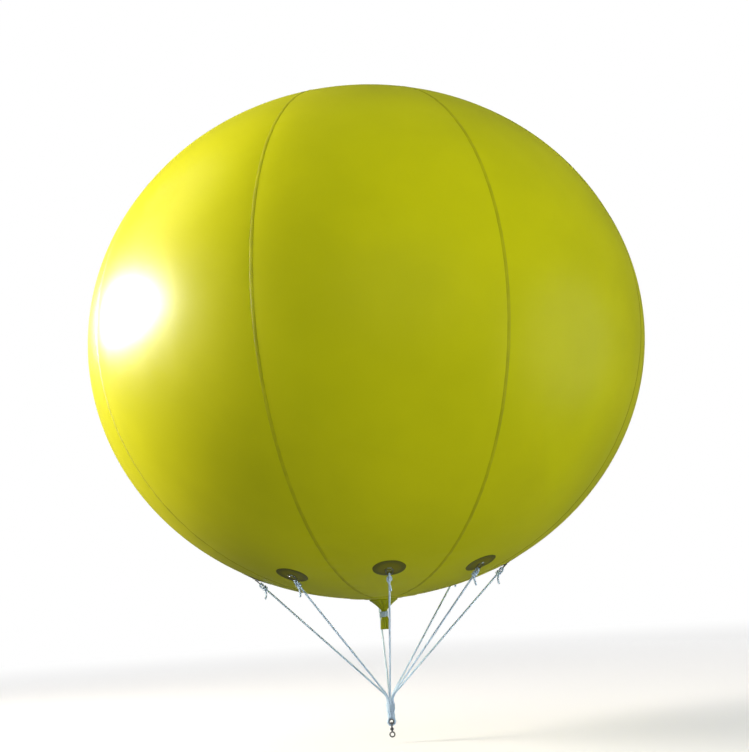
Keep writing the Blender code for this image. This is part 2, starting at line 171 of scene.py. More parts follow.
# Stitch: half of its length, its rise, how deep its ends lie, and its thread
STITCH_REACH = 0.0017
STITCH_RISE = 0.0005
STITCH_DIP = 0.0003
THREAD_RADIUS = 0.0004

# Knot of a bridle rope: run below it, gap under the bend, turns, and their pitch and radius in rope radii
KNOT_RUN = 0.012
KNOT_GAP = 0.006
KNOT_TURNS = 2
KNOT_PITCH = 2.1
KNOT_RADIUS = 1.84
# Laid rope: strands, how far their middles lie off the rope's in rope radii, and its rounded end
ROPE_STRANDS = 3
ROPE_SPREAD = 0.48
ROPE_END = 0.004
# Loose tail of a bridle rope: along its pull, across it, sideways, and then its hang as x, y, z
ROPE_TAIL = np.array([
    (0.006, -0.002, -0.004, 0, 0, 0),
    (0.008, -0.002, 0, 0.002, 0, -0.012),
    (0.008, 0, 0, 0.004, -0.004, -0.026),
    (0.006, 0, 0, 0.005, -0.006, -0.040),
])

# Wound cords: the pitch of their turns is counted in cord radii
WINDING_PITCH = 2.04
CORD_STRANDS = 2
CORD_SPREAD = 0.36
CORD_LAY = 0.012
CORD_END = 0.002
WHIPPING_TOP = 0.006
WHIPPING_LENGTH = 0.044
WHIPPING_CORD_RADIUS = 0.0022
THROAT_CORD_RADIUS = 0.0015
THROAT_TURNS = 5
THROAT_INSET = 0.0016
THROAT_RISE = 0.018

# Bundle's taper, core and eye
BUNDLE_TAPER = 0.12
CORE_INSET = 0.004
CORE_GAP = 0.003
EYE_RADIUS = 0.0175
EYE_ROPE_RADIUS = 0.0078
EYE_SPREAD = 0.46
EYE_LAY = 0.0366
THIMBLE_WALL = 0.0020

# Swivel
RUNNING_GAP = 0.0003
BOW_WIRE_RADIUS = 0.0030
BOW_HALF_WIDTH = 0.0160
BOW_LENGTH = 0.035
BOW_ROUND = 0.7 * BOW_HALF_WIDTH
BOW_SHOULDER = 0.008
BARREL_RADIUS = 0.0095
BARREL_LENGTH = 0.010
SHANK_RADIUS = 0.0045
SHANK_HEAD_RADIUS = 0.0075
SHANK_HEAD_HEIGHT = 0.003
SHANK_DROP = 0.0055
TETHER_HOLE_RADIUS = 0.009
TETHER_RING_RADIUS = 0.016
TETHER_RING_THICKNESS = 0.010

# Rounded edges of the steel
LIP_ROUNDING = 0.0006
RING_ROUNDING = 0.0018
SHANK_ROUNDING = 0.0012

# Step along a path, and how far its corners are softened
STRAP_STEP = (0.0009, 0.0020)
RING_STEP = (0.0011, 0.0035)
ROPE_STEP = (0.0032, 0.0052)
CORD_STEP = (0.0016, 0.0030)
BOW_STEP = (0.0012, 0.0036)

# Points round each section and each turned piece
DISC_SIDES = 256
NECK_SIDES = 216
PATCH_SIDES = 96
STRAP_SIDES = 40
THREAD_SIDES = 6
RING_SIDES = 16
ROPE_SIDES = 24
CORD_SIDES = 12
EYE_ROPE_SIDES = 36
EYE_STEPS = 96
THIMBLE_SIDES = 72
BOW_SIDES = 20
BARREL_SIDES = 64
TETHER_RING_SIDES = 96
STAGE_SIDES = 48

# Gloss of PVC
FILM_IOR = 1.53

# Lamps: watts, width and height in metres, azimuth, elevation, colour, lights matt surfaces, shows in gloss
WHITE = (1, 1, 1)
WARM = (1.0, 0.88, 0.72)
SUNNY = (1.0, 0.98, 0.94)
LAMPS = {
    "key": (1450, 2.6, 2.6, -98, 16, WARM, True, False),
    "fill_front": (740, 16, 16, 34, 17, WHITE, True, False),
    "fill_low": (255, 16, 16, -30, -50, WHITE, True, False),
    "fill_left": (395, 16, 16, -90, 55, WHITE, True, False),
    "fill_right": (505, 16, 16, 120, -28, WHITE, True, False),
    "fill_back": (200, 16, 16, 150, 55, WHITE, True, False),
    "gleam": (1850, 5.5, 1.8, -102, 14, SUNNY, False, True),
    "high_gleam": (38, 4.5, 4.5, -104, 42, SUNNY, False, True),
    "side_gleam": (58, 7.0, 6.0, 76, -7, WHITE, False, True),
    "front_gleam": (15, 8.0, 6.0, 12, 8, WHITE, False, True),
}


def smooth(value, low, high):
    """0 below low, 1 above high, and an even S between them: 3 t squared minus 2 t cubed."""
    share = np.clip((value - low) / (high - low), 0, 1)
    return share * share * (3 - 2 * share)


def bell(value, width):
    """1 at zero, falling to 1/e where the value is the width."""
    return np.exp(-((value / width) ** 2))


def unit(vectors):
    """Vectors made one long."""
    return vectors / np.linalg.norm(vectors, axis=-1, keepdims=True)


def full_turn(count):
    """Even angles once round, without the last one, which is the first again."""
    return np.arange(count) * 2 * np.pi / count


def about_axis(radius, angle, height):
    """Points at a radius, azimuth and height."""
    return np.stack(np.broadcast_arrays(radius * np.sin(angle), -radius * np.cos(angle), height), -1)


def stood_up(points, height):
    """Points turned about Z, laid over so that they turn about Y at a height."""
    return np.stack([points[..., 0], -points[..., 2], points[..., 1] + height], -1)


def turned(points, angle):
    """Points turned about Z."""
    cos, sin = np.cos(angle), np.sin(angle)
    matrix = np.array([[cos, -sin, 0], [sin, cos, 0], [0, 0, 1]])
    return points @ matrix.T


class Shell:
    """Gathers surfaces, each a grid of points, and makes them one mesh."""

    def __init__(self):
        self.points = []
        self.polygons = []
        self.corners = []
        self.count = 0

    def grid(self, points, around=False, along=False, capped=True, size=(1.0, 1.0)):
        """Add a surface from points in rows and columns.

        around joins the last column to the first, and along the last row to the first. The end rows of a
        round surface are closed by fans to their middles. size is what the UV map spans along and around.
        The faces are turned so that the volume they enclose, seen from the origin, is positive.
        """
        points = np.asarray(points, float)
        rows, columns = points.shape[:2]
        row = np.arange(rows if along else rows - 1)
        column = np.arange(columns if around else columns - 1)
        i, j = (grid.ravel() for grid in np.meshgrid(row, column, indexing="ij"))
        start, after = i * columns, (i + 1) % rows * columns
        next_j = (j + 1) % columns
        quads = np.stack([start + j, start + next_j, after + next_j, after + j], 1)
        v = np.stack([i, i, i + 1, i + 1], 1) / max(rows - 1, 1) * size[0]
        u = np.stack([j, j + 1, j + 1, j], 1) / (columns if around else columns - 1) * size[1]
        flat = points.reshape(-1, 3)
        parts = [(quads, np.stack([u, v], -1))]
        if around and not along and capped:
            parts += self.fans(rows, columns, size)
            flat = np.vstack([flat, points[[0, -1]].mean(1)])
        volume = sum(
            np.einsum("ij,ij->", flat[faces[:, 0]], np.cross(flat[faces[:, k]], flat[faces[:, k + 1]]))
            for faces, _ in parts
            for k in range(1, faces.shape[1] - 1)
        )
        for faces, corners in parts:
            if volume < 0:
                faces, corners = faces[:, ::-1], corners[:, ::-1]
            self.polygons.append(faces + self.count)
            self.corners.append(corners.reshape(-1, 2))
        self.points.append(flat)
        self.count += len(flat)
        return self

    @staticmethod
    def fans(rows, columns, size):
        """The triangles that close the first and the last row, with their UV corners."""
        side = np.arange(columns)
        after = (side + 1) % columns
        last, middle = (rows - 1) * columns, rows * columns
        first_fan = np.stack([np.full(columns, middle), after, side], 1)
        last_fan = np.stack([np.full(columns, middle + 1), last + side, last + after], 1)
        start_uv = np.zeros((columns, 3, 2))
        start_uv[:, :, 0] = np.stack([side + 0.5, side + 1, side], 1) / columns * size[1]
        end_uv = start_uv.copy()
        end_uv[:, :, 1] = size[0]
        return [(first_fan, start_uv), (last_fan, end_uv)]

    def mesh(self, name):
        """The mesh, shaded smooth except along sharp edges."""
        mesh = bpy.data.meshes.new(name)
        loops = np.concatenate([faces.ravel() for faces in self.polygons])
        sizes = np.concatenate([np.full(len(faces), faces.shape[1]) for faces in self.polygons])
        mesh.vertices.add(self.count)
        mesh.vertices.foreach_set("co", np.vstack(self.points).astype(np.float32).ravel())
        mesh.loops.add(len(loops))
        mesh.loops.foreach_set("vertex_index", loops.astype(np.int32))
        mesh.polygons.add(len(sizes))
        mesh.polygons.foreach_set("loop_start", (np.cumsum(sizes) - sizes).astype(np.int32))
        mesh.uv_layers.new(name="UVMap")
        mesh.uv_layers[0].uv.foreach_set("vector", np.vstack(self.corners).astype(np.float32).ravel())
        mesh.update(calc_edges=True)
        mesh.validate()
        mesh.shade_smooth()
        mesh.set_sharp_from_angle(angle=SHARP_ANGLE)
        return mesh


def add_piece(name, shell, finish, body=BODY, replaces=()):
    """Put a finished mesh into the scene. It rides on a body and may stand for nodes of the frame."""
    mesh = shell.mesh(name)
    mesh.materials.append(finish)
    obj = bpy.data.objects.new(name, mesh)
    bpy.context.scene.collection.objects.link(obj)
    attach(obj, body)
    if replaces:
        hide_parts(*replaces)
    return obj


def distances(path):
    """How far along its path each point lies."""
    return np.concatenate([[0], np.cumsum(np.linalg.norm(np.diff(path, axis=0), axis=1))])


def smooth_path(points, spacing, softness, closed=False):
    """An even path through points: the straight runs are cut into equal steps, and each place becomes the
    mean of its neighbours within the softness, weighted by a raised cosine, which rounds the corners."""
    points = np.asarray(points, float)
    if closed:
        points = np.vstack([points, points[:1]])
    length = distances(points)
    count = max(int(round(length[-1] / spacing)), 8)
    even = np.linspace(0, length[-1], count + 1)
    path = np.stack([np.interp(even, length, points[:, k]) for k in range(3)], 1)
    half = max(int(round(softness / spacing)), 1)
    weights = 1 + np.cos(np.linspace(-np.pi, np.pi, 2 * half + 3)[1:-1])
    weights /= weights.sum()
    if closed:
        path = path[:-1]
        padded = np.vstack([path[-half:], path, path[:half]])
    else:
        start = 2 * path[0] - path[1 : half + 1][::-1]
        end = 2 * path[-1] - path[-half - 1 : -1][::-1]
        padded = np.vstack([start, path, end])
    return np.stack([np.convolve(padded[:, k], weights, "valid") for k in range(3)], 1)


def tangents(path, closed=False):
    """Directions along a path: from the point before each point to the one after it."""
    if closed:
        return unit(np.roll(path, -1, 0) - np.roll(path, 1, 0))
    return unit(np.gradient(path, axis=0))


def carried_normals(path, first, closed=False):
    """Normals carried along a path without twist: each is the last one, made square to the next tangent.
    On a closed path the twist that is left over is spread along it."""
    along = tangents(path, closed)
    normals = np.empty_like(path)
    normal = np.asarray(first, float)
    for k, tangent in enumerate(along):
        normal = normal - tangent * (normal @ tangent)
        normal /= np.linalg.norm(normal)
        normals[k] = normal
    if closed:
        back = normals[-1] - along[0] * (normals[-1] @ along[0])
        left = np.arctan2(np.cross(back, normals[0]) @ along[0], back @ normals[0])
        turn = (left * np.arange(len(path)) / len(path))[:, None]
        normals = normals * np.cos(turn) + np.cross(along, normals) * np.sin(turn)
    return along, normals


def sweep(path, reach, first, closed=False):
    """A section carried along a path: reach is the distance from the path at each station and angle, where
    the angle starts at the carried normal and turns about the tangent."""
    along, normals = carried_normals(path, first, closed)
    across = np.cross(along, normals)
    angle = full_turn(reach.shape[1])[:, None]
    direction = normals[:, None] * np.cos(angle) + across[:, None] * np.sin(angle)
    return path[:, None] + direction * reach[..., None]


def round_wire(path, radius, sides, first, closed=False):
    """A round section carried along a path."""
    return sweep(path, np.full((len(path), sides), radius), first, closed)


def laid_section(path, radius, sides, strands, lay, spread=ROPE_SPREAD, closed=False):
    """The reach of a laid rope's surface. Its strands are circles set round the middle, and the section turns
    once in each lay. Near a strand's own direction the reach is the far side of its circle."""
    distance = distances(path)
    turns = distance / lay
    if closed:
        total = distance[-1] + np.linalg.norm(path[0] - path[-1])
        turns = distance / total * max(round(total / lay * strands), 1) / strands
    angle = np.arange(sides) / sides - turns[:, None]
    beside = ((angle * strands + 0.5) % 1 - 0.5) * 2 * np.pi / strands
    offset, strand = radius * spread, radius * (1 - spread)
    return offset * np.cos(beside) + np.sqrt(np.maximum(strand**2 - (offset * np.sin(beside)) ** 2, 0))


def rounding(distance, length, least):
    """A quarter of an ellipse from an end over a length, as a share of the full reach."""
    share = np.clip(distance / length, 0, 1)
    return np.sqrt(np.maximum(1 - (1 - share) ** 2, least))[:, None]


def helix(radius, turns, drop, start, steps=40):
    """Points of a helix about Z that goes down: the angle grows evenly, and the height falls evenly."""
    share = np.linspace(0, 1, int(turns * steps) + 1)
    return about_axis(radius, start + 2 * np.pi * turns * share, -drop * share)


def revolved(profile, sides):
    """Points of a profile of (radius, height) turned about Z."""
    profile = np.asarray(profile, float)
    return about_axis(profile[:, 0, None], full_turn(sides), profile[:, 1, None])


def rounded(profile, radius, steps=5, closed=True):
    """A profile whose corners are rounded: near each corner it follows a parabola between the points that
    lie the radius, or a little under half of a side, away."""
    profile = np.asarray(profile, float)
    ends = []
    for towards in (1, -1):
        side = np.roll(profile, towards, 0) - profile
        reach = np.minimum(radius, 0.45 * np.linalg.norm(side, axis=1))[:, None]
        ends.append(profile + unit(side) * reach)
    start, end = ends
    share = np.linspace(0, 1, steps)[None, :, None]
    first = start[:, None] * (1 - share) + profile[:, None] * share
    second = profile[:, None] * (1 - share) + end[:, None] * share
    curve = first * (1 - share) + second * share
    if not closed:
        curve[0], curve[-1] = profile[0], profile[-1]
    return curve.reshape(-1, 2)


def row_at(size, radius):
    """The row where the envelope has this radius, as a positive angle."""
    return np.arccos(radius / size.equator_radius)


def from_gore_middle(azimuth):
    """How far an azimuth lies from the nearest gore's middle, in gores: -0.5 to 0.5."""
    return (azimuth / GORE_ANGLE + 0.5) % 1 - 0.5


def seam_of(azimuth):
    """The nearest seam's number, and the angle from it."""
    place = azimuth / GORE_ANGLE - 0.5
    nearest = np.round(place)
    return nearest.astype(int) % GORES, (place - nearest) * GORE_ANGLE


def puckers(size, azimuth, row):
    """Height of the film's fine ripples. Sine waves run along each seam and fade away from it as a bell, and
    waves round each end fade away from its disc. They stop short of the rope patches."""
    seam, angle = seam_of(azimuth)
    radius = size.equator_radius * np.cos(row)
    meridian = (size.equator_radius + size.pole_height) / 2 * row
    wavelength, share = SEAM_RIPPLES[:, 0], SEAM_RIPPLES[:, 1]
    waves = np.sin(2 * np.pi * meridian[..., None] / wavelength + RIPPLE_PHASES[seam])
    along_seam = (waves * share).sum(-1) * bell(angle * radius, RIPPLE_REACH)
    along_seam = along_seam * (0.45 + 0.55 * smooth(np.abs(row), 0.2, 1.2))
    disc = np.where(row > 0, CROWN_DISC_RADIUS, BASE_DISC_RADIUS)
    phases = END_PHASES[(row > 0).astype(int)]
    round_end = (np.sin(END_RIPPLES[:, 0] * azimuth[..., None] + phases) * END_RIPPLES[:, 1]).sum(-1)
    round_end = round_end * np.exp(-np.maximum(radius - disc, 0) / END_REACH)
    sideways = from_gore_middle(azimuth) * GORE_ANGLE * radius
    from_patch = np.hypot(radius - size.patch_ring_radius, sideways)
    calm = np.where(row < 0, smooth(from_patch, size.patch_radius, size.patch_radius + 0.05), 1)
    return size.pucker_height * (along_seam + round_end) * calm


def skin(size, azimuth, row, lift=0.0):
    """A point over the film: the equator's radius times the row's cosine, the pole's height times its sine,
    drawn in towards each seam, and then lifted along the ellipse's normal by the lift and the puckers."""
    azimuth, row = np.broadcast_arrays(np.asarray(azimuth, float), np.asarray(row, float))
    towards_seam = np.abs(2 * from_gore_middle(azimuth))
    pull = size.seam_pull / size.equator_radius * towards_seam**SEAM_SHARPNESS
    out, up = np.cos(row) / size.equator_radius, np.sin(row) / size.pole_height
    steep = np.hypot(out, up)
    lift = lift + puckers(size, azimuth, row)
    radius = size.equator_radius * np.cos(row) * (1 - pull) + lift * out / steep
    height = size.pole_height * np.sin(row) + lift * up / steep
    return about_axis(radius, azimuth, height)


def gore_rows(size, base=BASE_HOLE_RADIUS, crown=CROWN_HOLE_RADIUS, count=GORE_ROWS):
    """Even rows from one radius round the base to another round the crown."""
    return np.linspace(-row_at(size, base), row_at(size, crown), count)


def gore_surface(size, number):
    """One gore's outer face. Rows run from the base hole to the crown hole, and columns from seam to seam,
    closer together beside the seams: their place is 0.35 t plus 0.65 of the sine of t quarter turns."""
    rows = gore_rows(size)[:, None]
    even = np.linspace(-1, 1, GORE_COLUMNS + 1)
    place = 0.35 * even + 0.65 * np.sin(np.pi / 2 * even)
    half = GORE_ANGLE / 2 - FIT_GAP / 2 / (size.equator_radius * np.cos(rows))
    return skin(size, number * GORE_ANGLE + place * half, rows)


def gore_area(size):
    """Width at the equator, length along the middle, and the flat area of one gore."""
    row = gore_rows(size)
    slope = np.hypot(size.equator_radius * np.sin(row), size.pole_height * np.cos(row))
    step = slope * (row[1] - row[0])
    width = GORE_ANGLE * size.equator_radius
    return width, step.sum(), (step * width * np.cos(row)).sum()


def weld_surface(size, number):
    """The lapped and welded edge of two gores: a low band along the seam between the two discs. Across it the
    height is a low round bead, 1 minus t to the power 2.5, and at its two ends it falls to a fifth."""
    count = 2 * GORE_ROWS
    base, crown = BASE_DISC_RADIUS + WELD_END_GAP, CROWN_DISC_RADIUS + WELD_END_GAP
    rows = gore_rows(size, base, crown, count)[:, None]
    place = np.linspace(-1, 1, WELD_COLUMNS)
    top = size.weld_height * (1 - np.abs(place) ** 2.5)
    across = np.concatenate([place, place[-2:0:-1]]) * size.weld_width / 2
    lift = np.concatenate([top, np.zeros(WELD_COLUMNS - 2)]) + WELD_LIFT
    ends = 1 - WELD_END_DROP * np.abs(np.linspace(-1, 1, count)) ** 80
    azimuth = (number + 0.5) * GORE_ANGLE + across / (size.equator_radius * np.cos(rows))
    return skin(size, azimuth, rows, lift * ends[:, None])


def disc_relief(radius, rim, azimuth):
    """Height of a disc's heat weld and of the gores' welds beneath it: two rings pressed into the film just
    inside the rim, and eight low ridges over the seams."""
    _, angle = seam_of(azimuth)
    rings = sum(bell(radius - rim + inset, WELD_RING_WIDTH) for inset in WELD_RING_INSETS)
    ridges = bell(angle * radius, RIDGE_WIDTH) * smooth(radius, 0.05, 0.09)
    return RIDGE_HEIGHT * ridges - WELD_RING_DEPTH * rings


def disc_top(inner, rim_radius, rings):
    """Radii and lift of a disc's outer face from an inner radius to its rim. Its edge is rounded: there the
    thickness goes with the root of the distance from the rim."""
    edge = rim_radius - DISC_EDGE_INSETS
    radius = np.concatenate([np.linspace(inner, edge[0], rings), edge[1:]])
    rim = np.sqrt(np.clip((rim_radius - radius) / DISC_EDGE, 0, 1))[:, None]
    relief = disc_relief(radius[:, None], rim_radius, full_turn(DISC_SIDES))
    return radius, FIT_GAP + DISC_THICKNESS * rim + relief * rim


def crown_surface(size):
    """The crown disc: out over its top, round its rim and back underneath, as a profile turned about Z."""
    top, lift_top = disc_top(CROWN_MIDDLE_RADIUS, CROWN_DISC_RADIUS, 70)
    under = np.linspace(CROWN_DISC_RADIUS, CROWN_MIDDLE_RADIUS, 14)
    lift = np.vstack([lift_top, np.full((len(under), DISC_SIDES), FIT_GAP / 2)])
    radius = np.concatenate([top, under])[:, None]
    return skin(size, full_turn(DISC_SIDES), row_at(size, radius), lift)


def base_surface(size):
    """The base disc: a ring from the flat collar round the neck out to the rim, closed underneath the film's
    own surface. Between collar and film its height goes over in an even S."""
    azimuth = full_turn(DISC_SIDES)
    outer, lift = disc_top(COLLAR_RADIUS, BASE_DISC_RADIUS, 60)
    below = skin(size, azimuth, -row_at(size, outer[:, None]), lift)
    share = smooth(outer, COLLAR_RADIUS, COLLAR_RADIUS + 0.02)[:, None]
    below[..., 2] = COLLAR_HEIGHT * (1 - share) + below[..., 2] * share
    hole = -size.pole_height * np.sin(row_at(size, BASE_HOLE_RADIUS))
    collar = [(BASE_DISC_BORE, hole), (BASE_DISC_BORE, COLLAR_HEIGHT), (COLLAR_RADIUS - 0.002, COLLAR_HEIGHT)]
    collar = revolved(rounded(collar, 0.001, closed=False), DISC_SIDES)
    inwards = np.linspace(BASE_DISC_RADIUS, BASE_HOLE_RADIUS, 12)[:, None]
    under = skin(size, azimuth, -row_at(size, inwards), FIT_GAP / 2)
    return np.concatenate([collar, below, under])


def neck_surface():
    """The gathered neck: its film goes down outside from the collar past the tie to the end of the tail, and
    back up inside, closed at the tie from both sides. The radius is the outline's, times one plus the pleats:
    twelve folds whose ridges are sharper than their valleys, each a little out of its even place."""
    azimuth = full_turn(NECK_SIDES)
    tail = NECK_OUTLINE[-1, 0]
    depth_in = np.linspace(NECK_CLOSED_ABOVE, 0, 24)
    depth_out = np.concatenate([np.linspace(0, 0.012, 14), np.linspace(0.014, tail, 76)])
    depth_up = np.linspace(tail, NECK_CLOSED_BELOW, 26)
    depth = np.concatenate([depth_in, depth_out, depth_up])
    start = len(depth_in)
    end = start + len(depth_out)
    radius = np.interp(depth, NECK_OUTLINE[:, 0], NECK_OUTLINE[:, 1])
    kernel = np.hanning(9)[1:-1] / np.hanning(9)[1:-1].sum()
    middle = np.concatenate([np.full(3, radius[start]), radius[start:end], np.full(3, radius[end - 1])])
    radius[start:end] = np.convolve(middle, kernel, "valid")
    inside = np.ones(len(depth))
    inside[start:end] = 0
    share = np.interp(depth, NECK_OUTLINE[:, 0], NECK_OUTLINE[:, 2])[:, None]
    sway = sum(height * np.sin(waves * azimuth + phase) for height, waves, phase in PLEAT_SWAY)
    sway = sway + 0.06 * np.sin(9 * depth[:, None] / 0.05)
    phase = PLEATS * azimuth + 2 * sway * np.minimum(share, 1)
    ridge = np.abs(np.cos(phase / 2)) ** 0.7 * 2 - 1.15
    uneven = 1 + 0.35 * np.sin(3 * azimuth + 1.3)
    pleats = PLEAT_HEIGHT * share * ridge * uneven
    reach = (radius[:, None] - NECK_FILM * inside[:, None]) * (1 + pleats)
    open_share = np.ones(len(depth))
    open_share[: len(NECK_OPENING)] = NECK_OPENING
    open_share[-len(NECK_OPENING) :] = NECK_OPENING[::-1]
    return about_axis(reach * open_share[:, None], azimuth, NECK_TOP - depth[:, None])


class Station:
    """Where the first rope leaves the envelope: the middle of its patch and the directions there."""

    def __init__(self, size):
        self.size = size
        row = row_at(size, size.patch_ring_radius)
        self.centre = np.array([0, -size.equator_radius * np.cos(row), -size.pole_height * np.sin(row)])
        self.scale = np.array([1 / size.equator_radius, 1 / size.equator_radius, 1 / size.pole_height])
        self.along = np.array([1.0, 0, 0])
        self.normal = unit(self.centre * self.scale**2)
        self.down = np.cross(self.normal, self.along)
        bridle = bpy.context.scene.balloon_bridle
        self.bar_lift = FIT_GAP + size.patch_thickness + FIT_GAP + bridle.ring_wire_radius
        self.bar = self.centre + self.normal * self.bar_lift
        self.strand_circle = (bridle.rope_radius + FIT_GAP / 2) / np.sin(GORE_ANGLE / 2)
        self.gather = np.array([0, -self.strand_circle, GATHER_HEIGHT + bridle.gather_bend])
        self.pull = unit(self.gather - self.bar)
        self.across = unit(np.cross(self.along, self.pull))

    def on_skin(self, sideways, downwards, lift):
        """A point over the envelope, measured in the patch's own plane: the line along the patch's normal
        meets the envelope where the scaled point has length one."""
        start = self.centre + sideways[..., None] * self.along + downwards[..., None] * self.down
        base, step = start * self.scale, self.normal * self.scale
        a, b, c = step @ step, base @ step, (base * base).sum(-1) - 1
        return start + self.normal * (((-b + np.sqrt(b * b - a * c)) / a + lift)[..., None])


def patch_surface(station):
    """A rope patch: rings from its middle out over its crowned top, round its rim and back underneath. Its
    thickness is greatest in the middle and falls in an even S to about a third at the welded edge."""
    size = station.size
    top, under = PATCH_RINGS, np.linspace(1.0, PATCH_RINGS[0], 10)
    angle = full_turn(PATCH_SIDES)
    crowned = 1 - smooth(top, PATCH_CROWN_START, PATCH_CROWN_END)
    crown = size.patch_thickness * (PATCH_RIM + (1 - PATCH_RIM) * crowned)
    edge = np.sqrt(np.clip((1.0 - top) / PATCH_EDGE, 0, 1))
    bead = PATCH_BEAD_HEIGHT * bell(top - PATCH_BEAD_PLACE, PATCH_BEAD_WIDTH)
    lift = np.concatenate([FIT_GAP + (crown + bead) * edge, np.full(len(under), FIT_GAP * 0.6)])
    wander = 1 + 0.006 * np.sin(3 * angle + 0.4) + 0.004 * np.sin(7 * angle)
    reach = np.concatenate([top, under])[:, None] * size.patch_radius * wander
    return station.on_skin(reach * np.cos(angle), reach * np.sin(angle), lift[:, None] + 0 * angle)


def strap_path(station, bridle):
    """The strap's middle line: flat over the patch, up and over the ring's bar as a half circle, and down."""
    arch = bridle.ring_wire_radius + FIT_GAP + bridle.strap_thickness / 2
    floor = FIT_GAP + station.size.patch_thickness + bridle.strap_thickness / 2 - station.bar_lift
    turn = np.linspace(0, np.pi, 13)
    foot, heel = bridle.strap_foot, arch + STRAP_HEEL
    across = np.concatenate([[-foot, -heel], -arch * np.cos(turn), [heel, foot]])
    lift = np.concatenate([[floor, floor], np.maximum(arch * np.sin(turn), floor), [floor, floor]])
    points = station.bar + across[:, None] * station.down + lift[:, None] * station.normal
    return smooth_path(points, *STRAP_STEP)


def strap_surface(station, bridle):
    """The strap over the ring's bar: a flat section carried along its middle line. The section is an ellipse
    of the fifth power, thick along the normal."""
    path = strap_path(station, bridle)
    angle = full_turn(STRAP_SIDES)
    thick = np.abs(np.cos(angle)) / (bridle.strap_thickness / 2)
    wide = np.abs(np.sin(angle)) / (bridle.strap_width / 2)
    reach = np.broadcast_to((thick**5 + wide**5) ** (-1 / 5), (len(path), STRAP_SIDES))
    return sweep(path, reach, station.normal)


def stitch_places(bridle):
    """Each stitch's place sideways and downwards, and whether it lies crosswise: a box on each foot of the
    strap, of two rows across and two rows down, with nearly the same step."""
    wide, near, far = STITCHED_WIDTH * bridle.strap_width, STITCHED_FROM, bridle.strap_foot - STITCHED_MARGIN
    for side in (-1, 1):
        for level in (near, far):
            yield from ((x, side * level, True) for x in np.linspace(-wide, wide, 5))
        for edge in (-wide, wide):
            yield from ((edge, side * y, False) for y in np.linspace(near, far, 4))


def stitch_surfaces(station, bridle):
    """Each stitch is a short round thread that dips into the strap at its two ends: a half wave of a sine."""
    floor = FIT_GAP + station.size.patch_thickness + bridle.strap_thickness - station.bar_lift
    turn = np.linspace(0, np.pi, 7)
    reach, rise = -np.cos(turn) * STITCH_REACH, np.sin(turn) * STITCH_RISE - STITCH_DIP
    stitches = []
    for x, y, crosswise in stitch_places(bridle):
        direction = station.along if crosswise else station.down
        middle = station.bar + x * station.along + y * station.down + floor * station.normal
        path = middle + np.outer(reach, direction) + np.outer(rise, station.normal)
        stitches.append(round_wire(path, THREAD_RADIUS, THREAD_SIDES, station.normal))
    return stitches


def ring_surface(station, bridle):
    """The D-ring's wire: a straight bar under the strap, and a bow whose height is its length times the sine
    of the turn to the power 0.8."""
    turn = np.linspace(0, np.pi, 61)
    sideways = np.outer(np.cos(turn) * bridle.ring_half_width, station.along)
    outwards = np.outer(np.sin(turn) ** 0.8 * bridle.ring_length, station.pull)
    path = smooth_path(station.bar + sideways + outwards, *RING_STEP, closed=True)
    return round_wire(path, bridle.ring_wire_radius, RING_SIDES, station.normal, closed=True)


def rope_path(station, bridle):
    """One bridle rope from the bundle up: a bend as a parabola, a straight run, half a circle round the
    ring's bow, a helix of two turns round itself as the knot, and a loose tail that hangs down."""
    radius, eye_radius = bridle.rope_radius, bridle.eye_radius
    bow = bridle.ring_length - bridle.ring_wire_radius - radius - FIT_GAP
    eye = station.bar + station.pull * (bow + eye_radius)
    pull, across, side = station.pull, station.across, station.along

    def place(lengthwise, crosswise, sideways):
        """Points counted from the middle of the half circle round the ring's bow."""
        return eye + np.outer(lengthwise, pull) + np.outer(crosswise, across) + np.outer(sideways, side)

    end = np.array([0, -station.strand_circle, GATHER_HEIGHT])
    bend_start = station.gather - pull * bridle.gather_bend
    bend_end = end + np.array([0, 0, bridle.gather_bend * 0.25])
    share = np.linspace(0, 1, 9)[:, None]
    first = bend_start * (1 - share) + station.gather * share
    second = station.gather * (1 - share) + bend_end * share
    bend = first * (1 - share) + second * share
    knot_start = eye_radius + KNOT_GAP
    knot_end = knot_start + KNOT_TURNS * radius * KNOT_PITCH
    run = np.array([knot_end + KNOT_RUN, knot_end, knot_start])
    stand = place(run, np.array([0, 0, 0.001]), np.zeros(3))
    turn = np.linspace(0, np.pi, 13)
    loop = place(-eye_radius * np.sin(turn), eye_radius * np.cos(turn), np.zeros(13))
    share = np.linspace(0, 1, 49)
    angle = np.pi + 2 * np.pi * KNOT_TURNS * share
    rise = knot_start + (knot_end - knot_start) * share
    wrap = radius * KNOT_RADIUS
    wraps = place(rise, wrap * np.cos(angle), -wrap * np.sin(angle))
    tail = wraps[-1] + ROPE_TAIL[:, :3] @ np.array([pull, across, side]) + ROPE_TAIL[:, 3:]
    return smooth_path(np.vstack([end, bend[::-1], stand, loop, wraps, tail]), *ROPE_STEP)


def rope_surface(station, bridle):
    """A three-strand rope along its path. At the bundle one strand points away from the balloon's axis."""
    path = rope_path(station, bridle)
    distance = distances(path)
    reach = laid_section(path, bridle.rope_radius, ROPE_SIDES, ROPE_STRANDS, bridle.lay_length)
    reach = reach * rounding(distance[-1] - distance, ROPE_END, 0.02)
    return sweep(path, reach, np.array([0, -1.0, 0])), distance[-1]


def bundle_strand(station, bridle, number, drop):
    """One rope of the bundle: a helix about the balloon's axis, a little narrower at its lower end."""
    share = np.linspace(0, 1, 48)
    angle = number * GORE_ANGLE + np.radians(bridle.bundle_twist) * share
    radius = station.strand_circle * (1 - BUNDLE_TAPER * smooth(share, 0.75, 1))
    path = about_axis(radius, angle, GATHER_HEIGHT - drop * share)
    reach = laid_section(path, bridle.rope_radius, ROPE_SIDES, ROPE_STRANDS, bridle.lay_length)
    return sweep(path, reach, about_axis(1, number * GORE_ANGLE, 0)), distances(path)[-1]


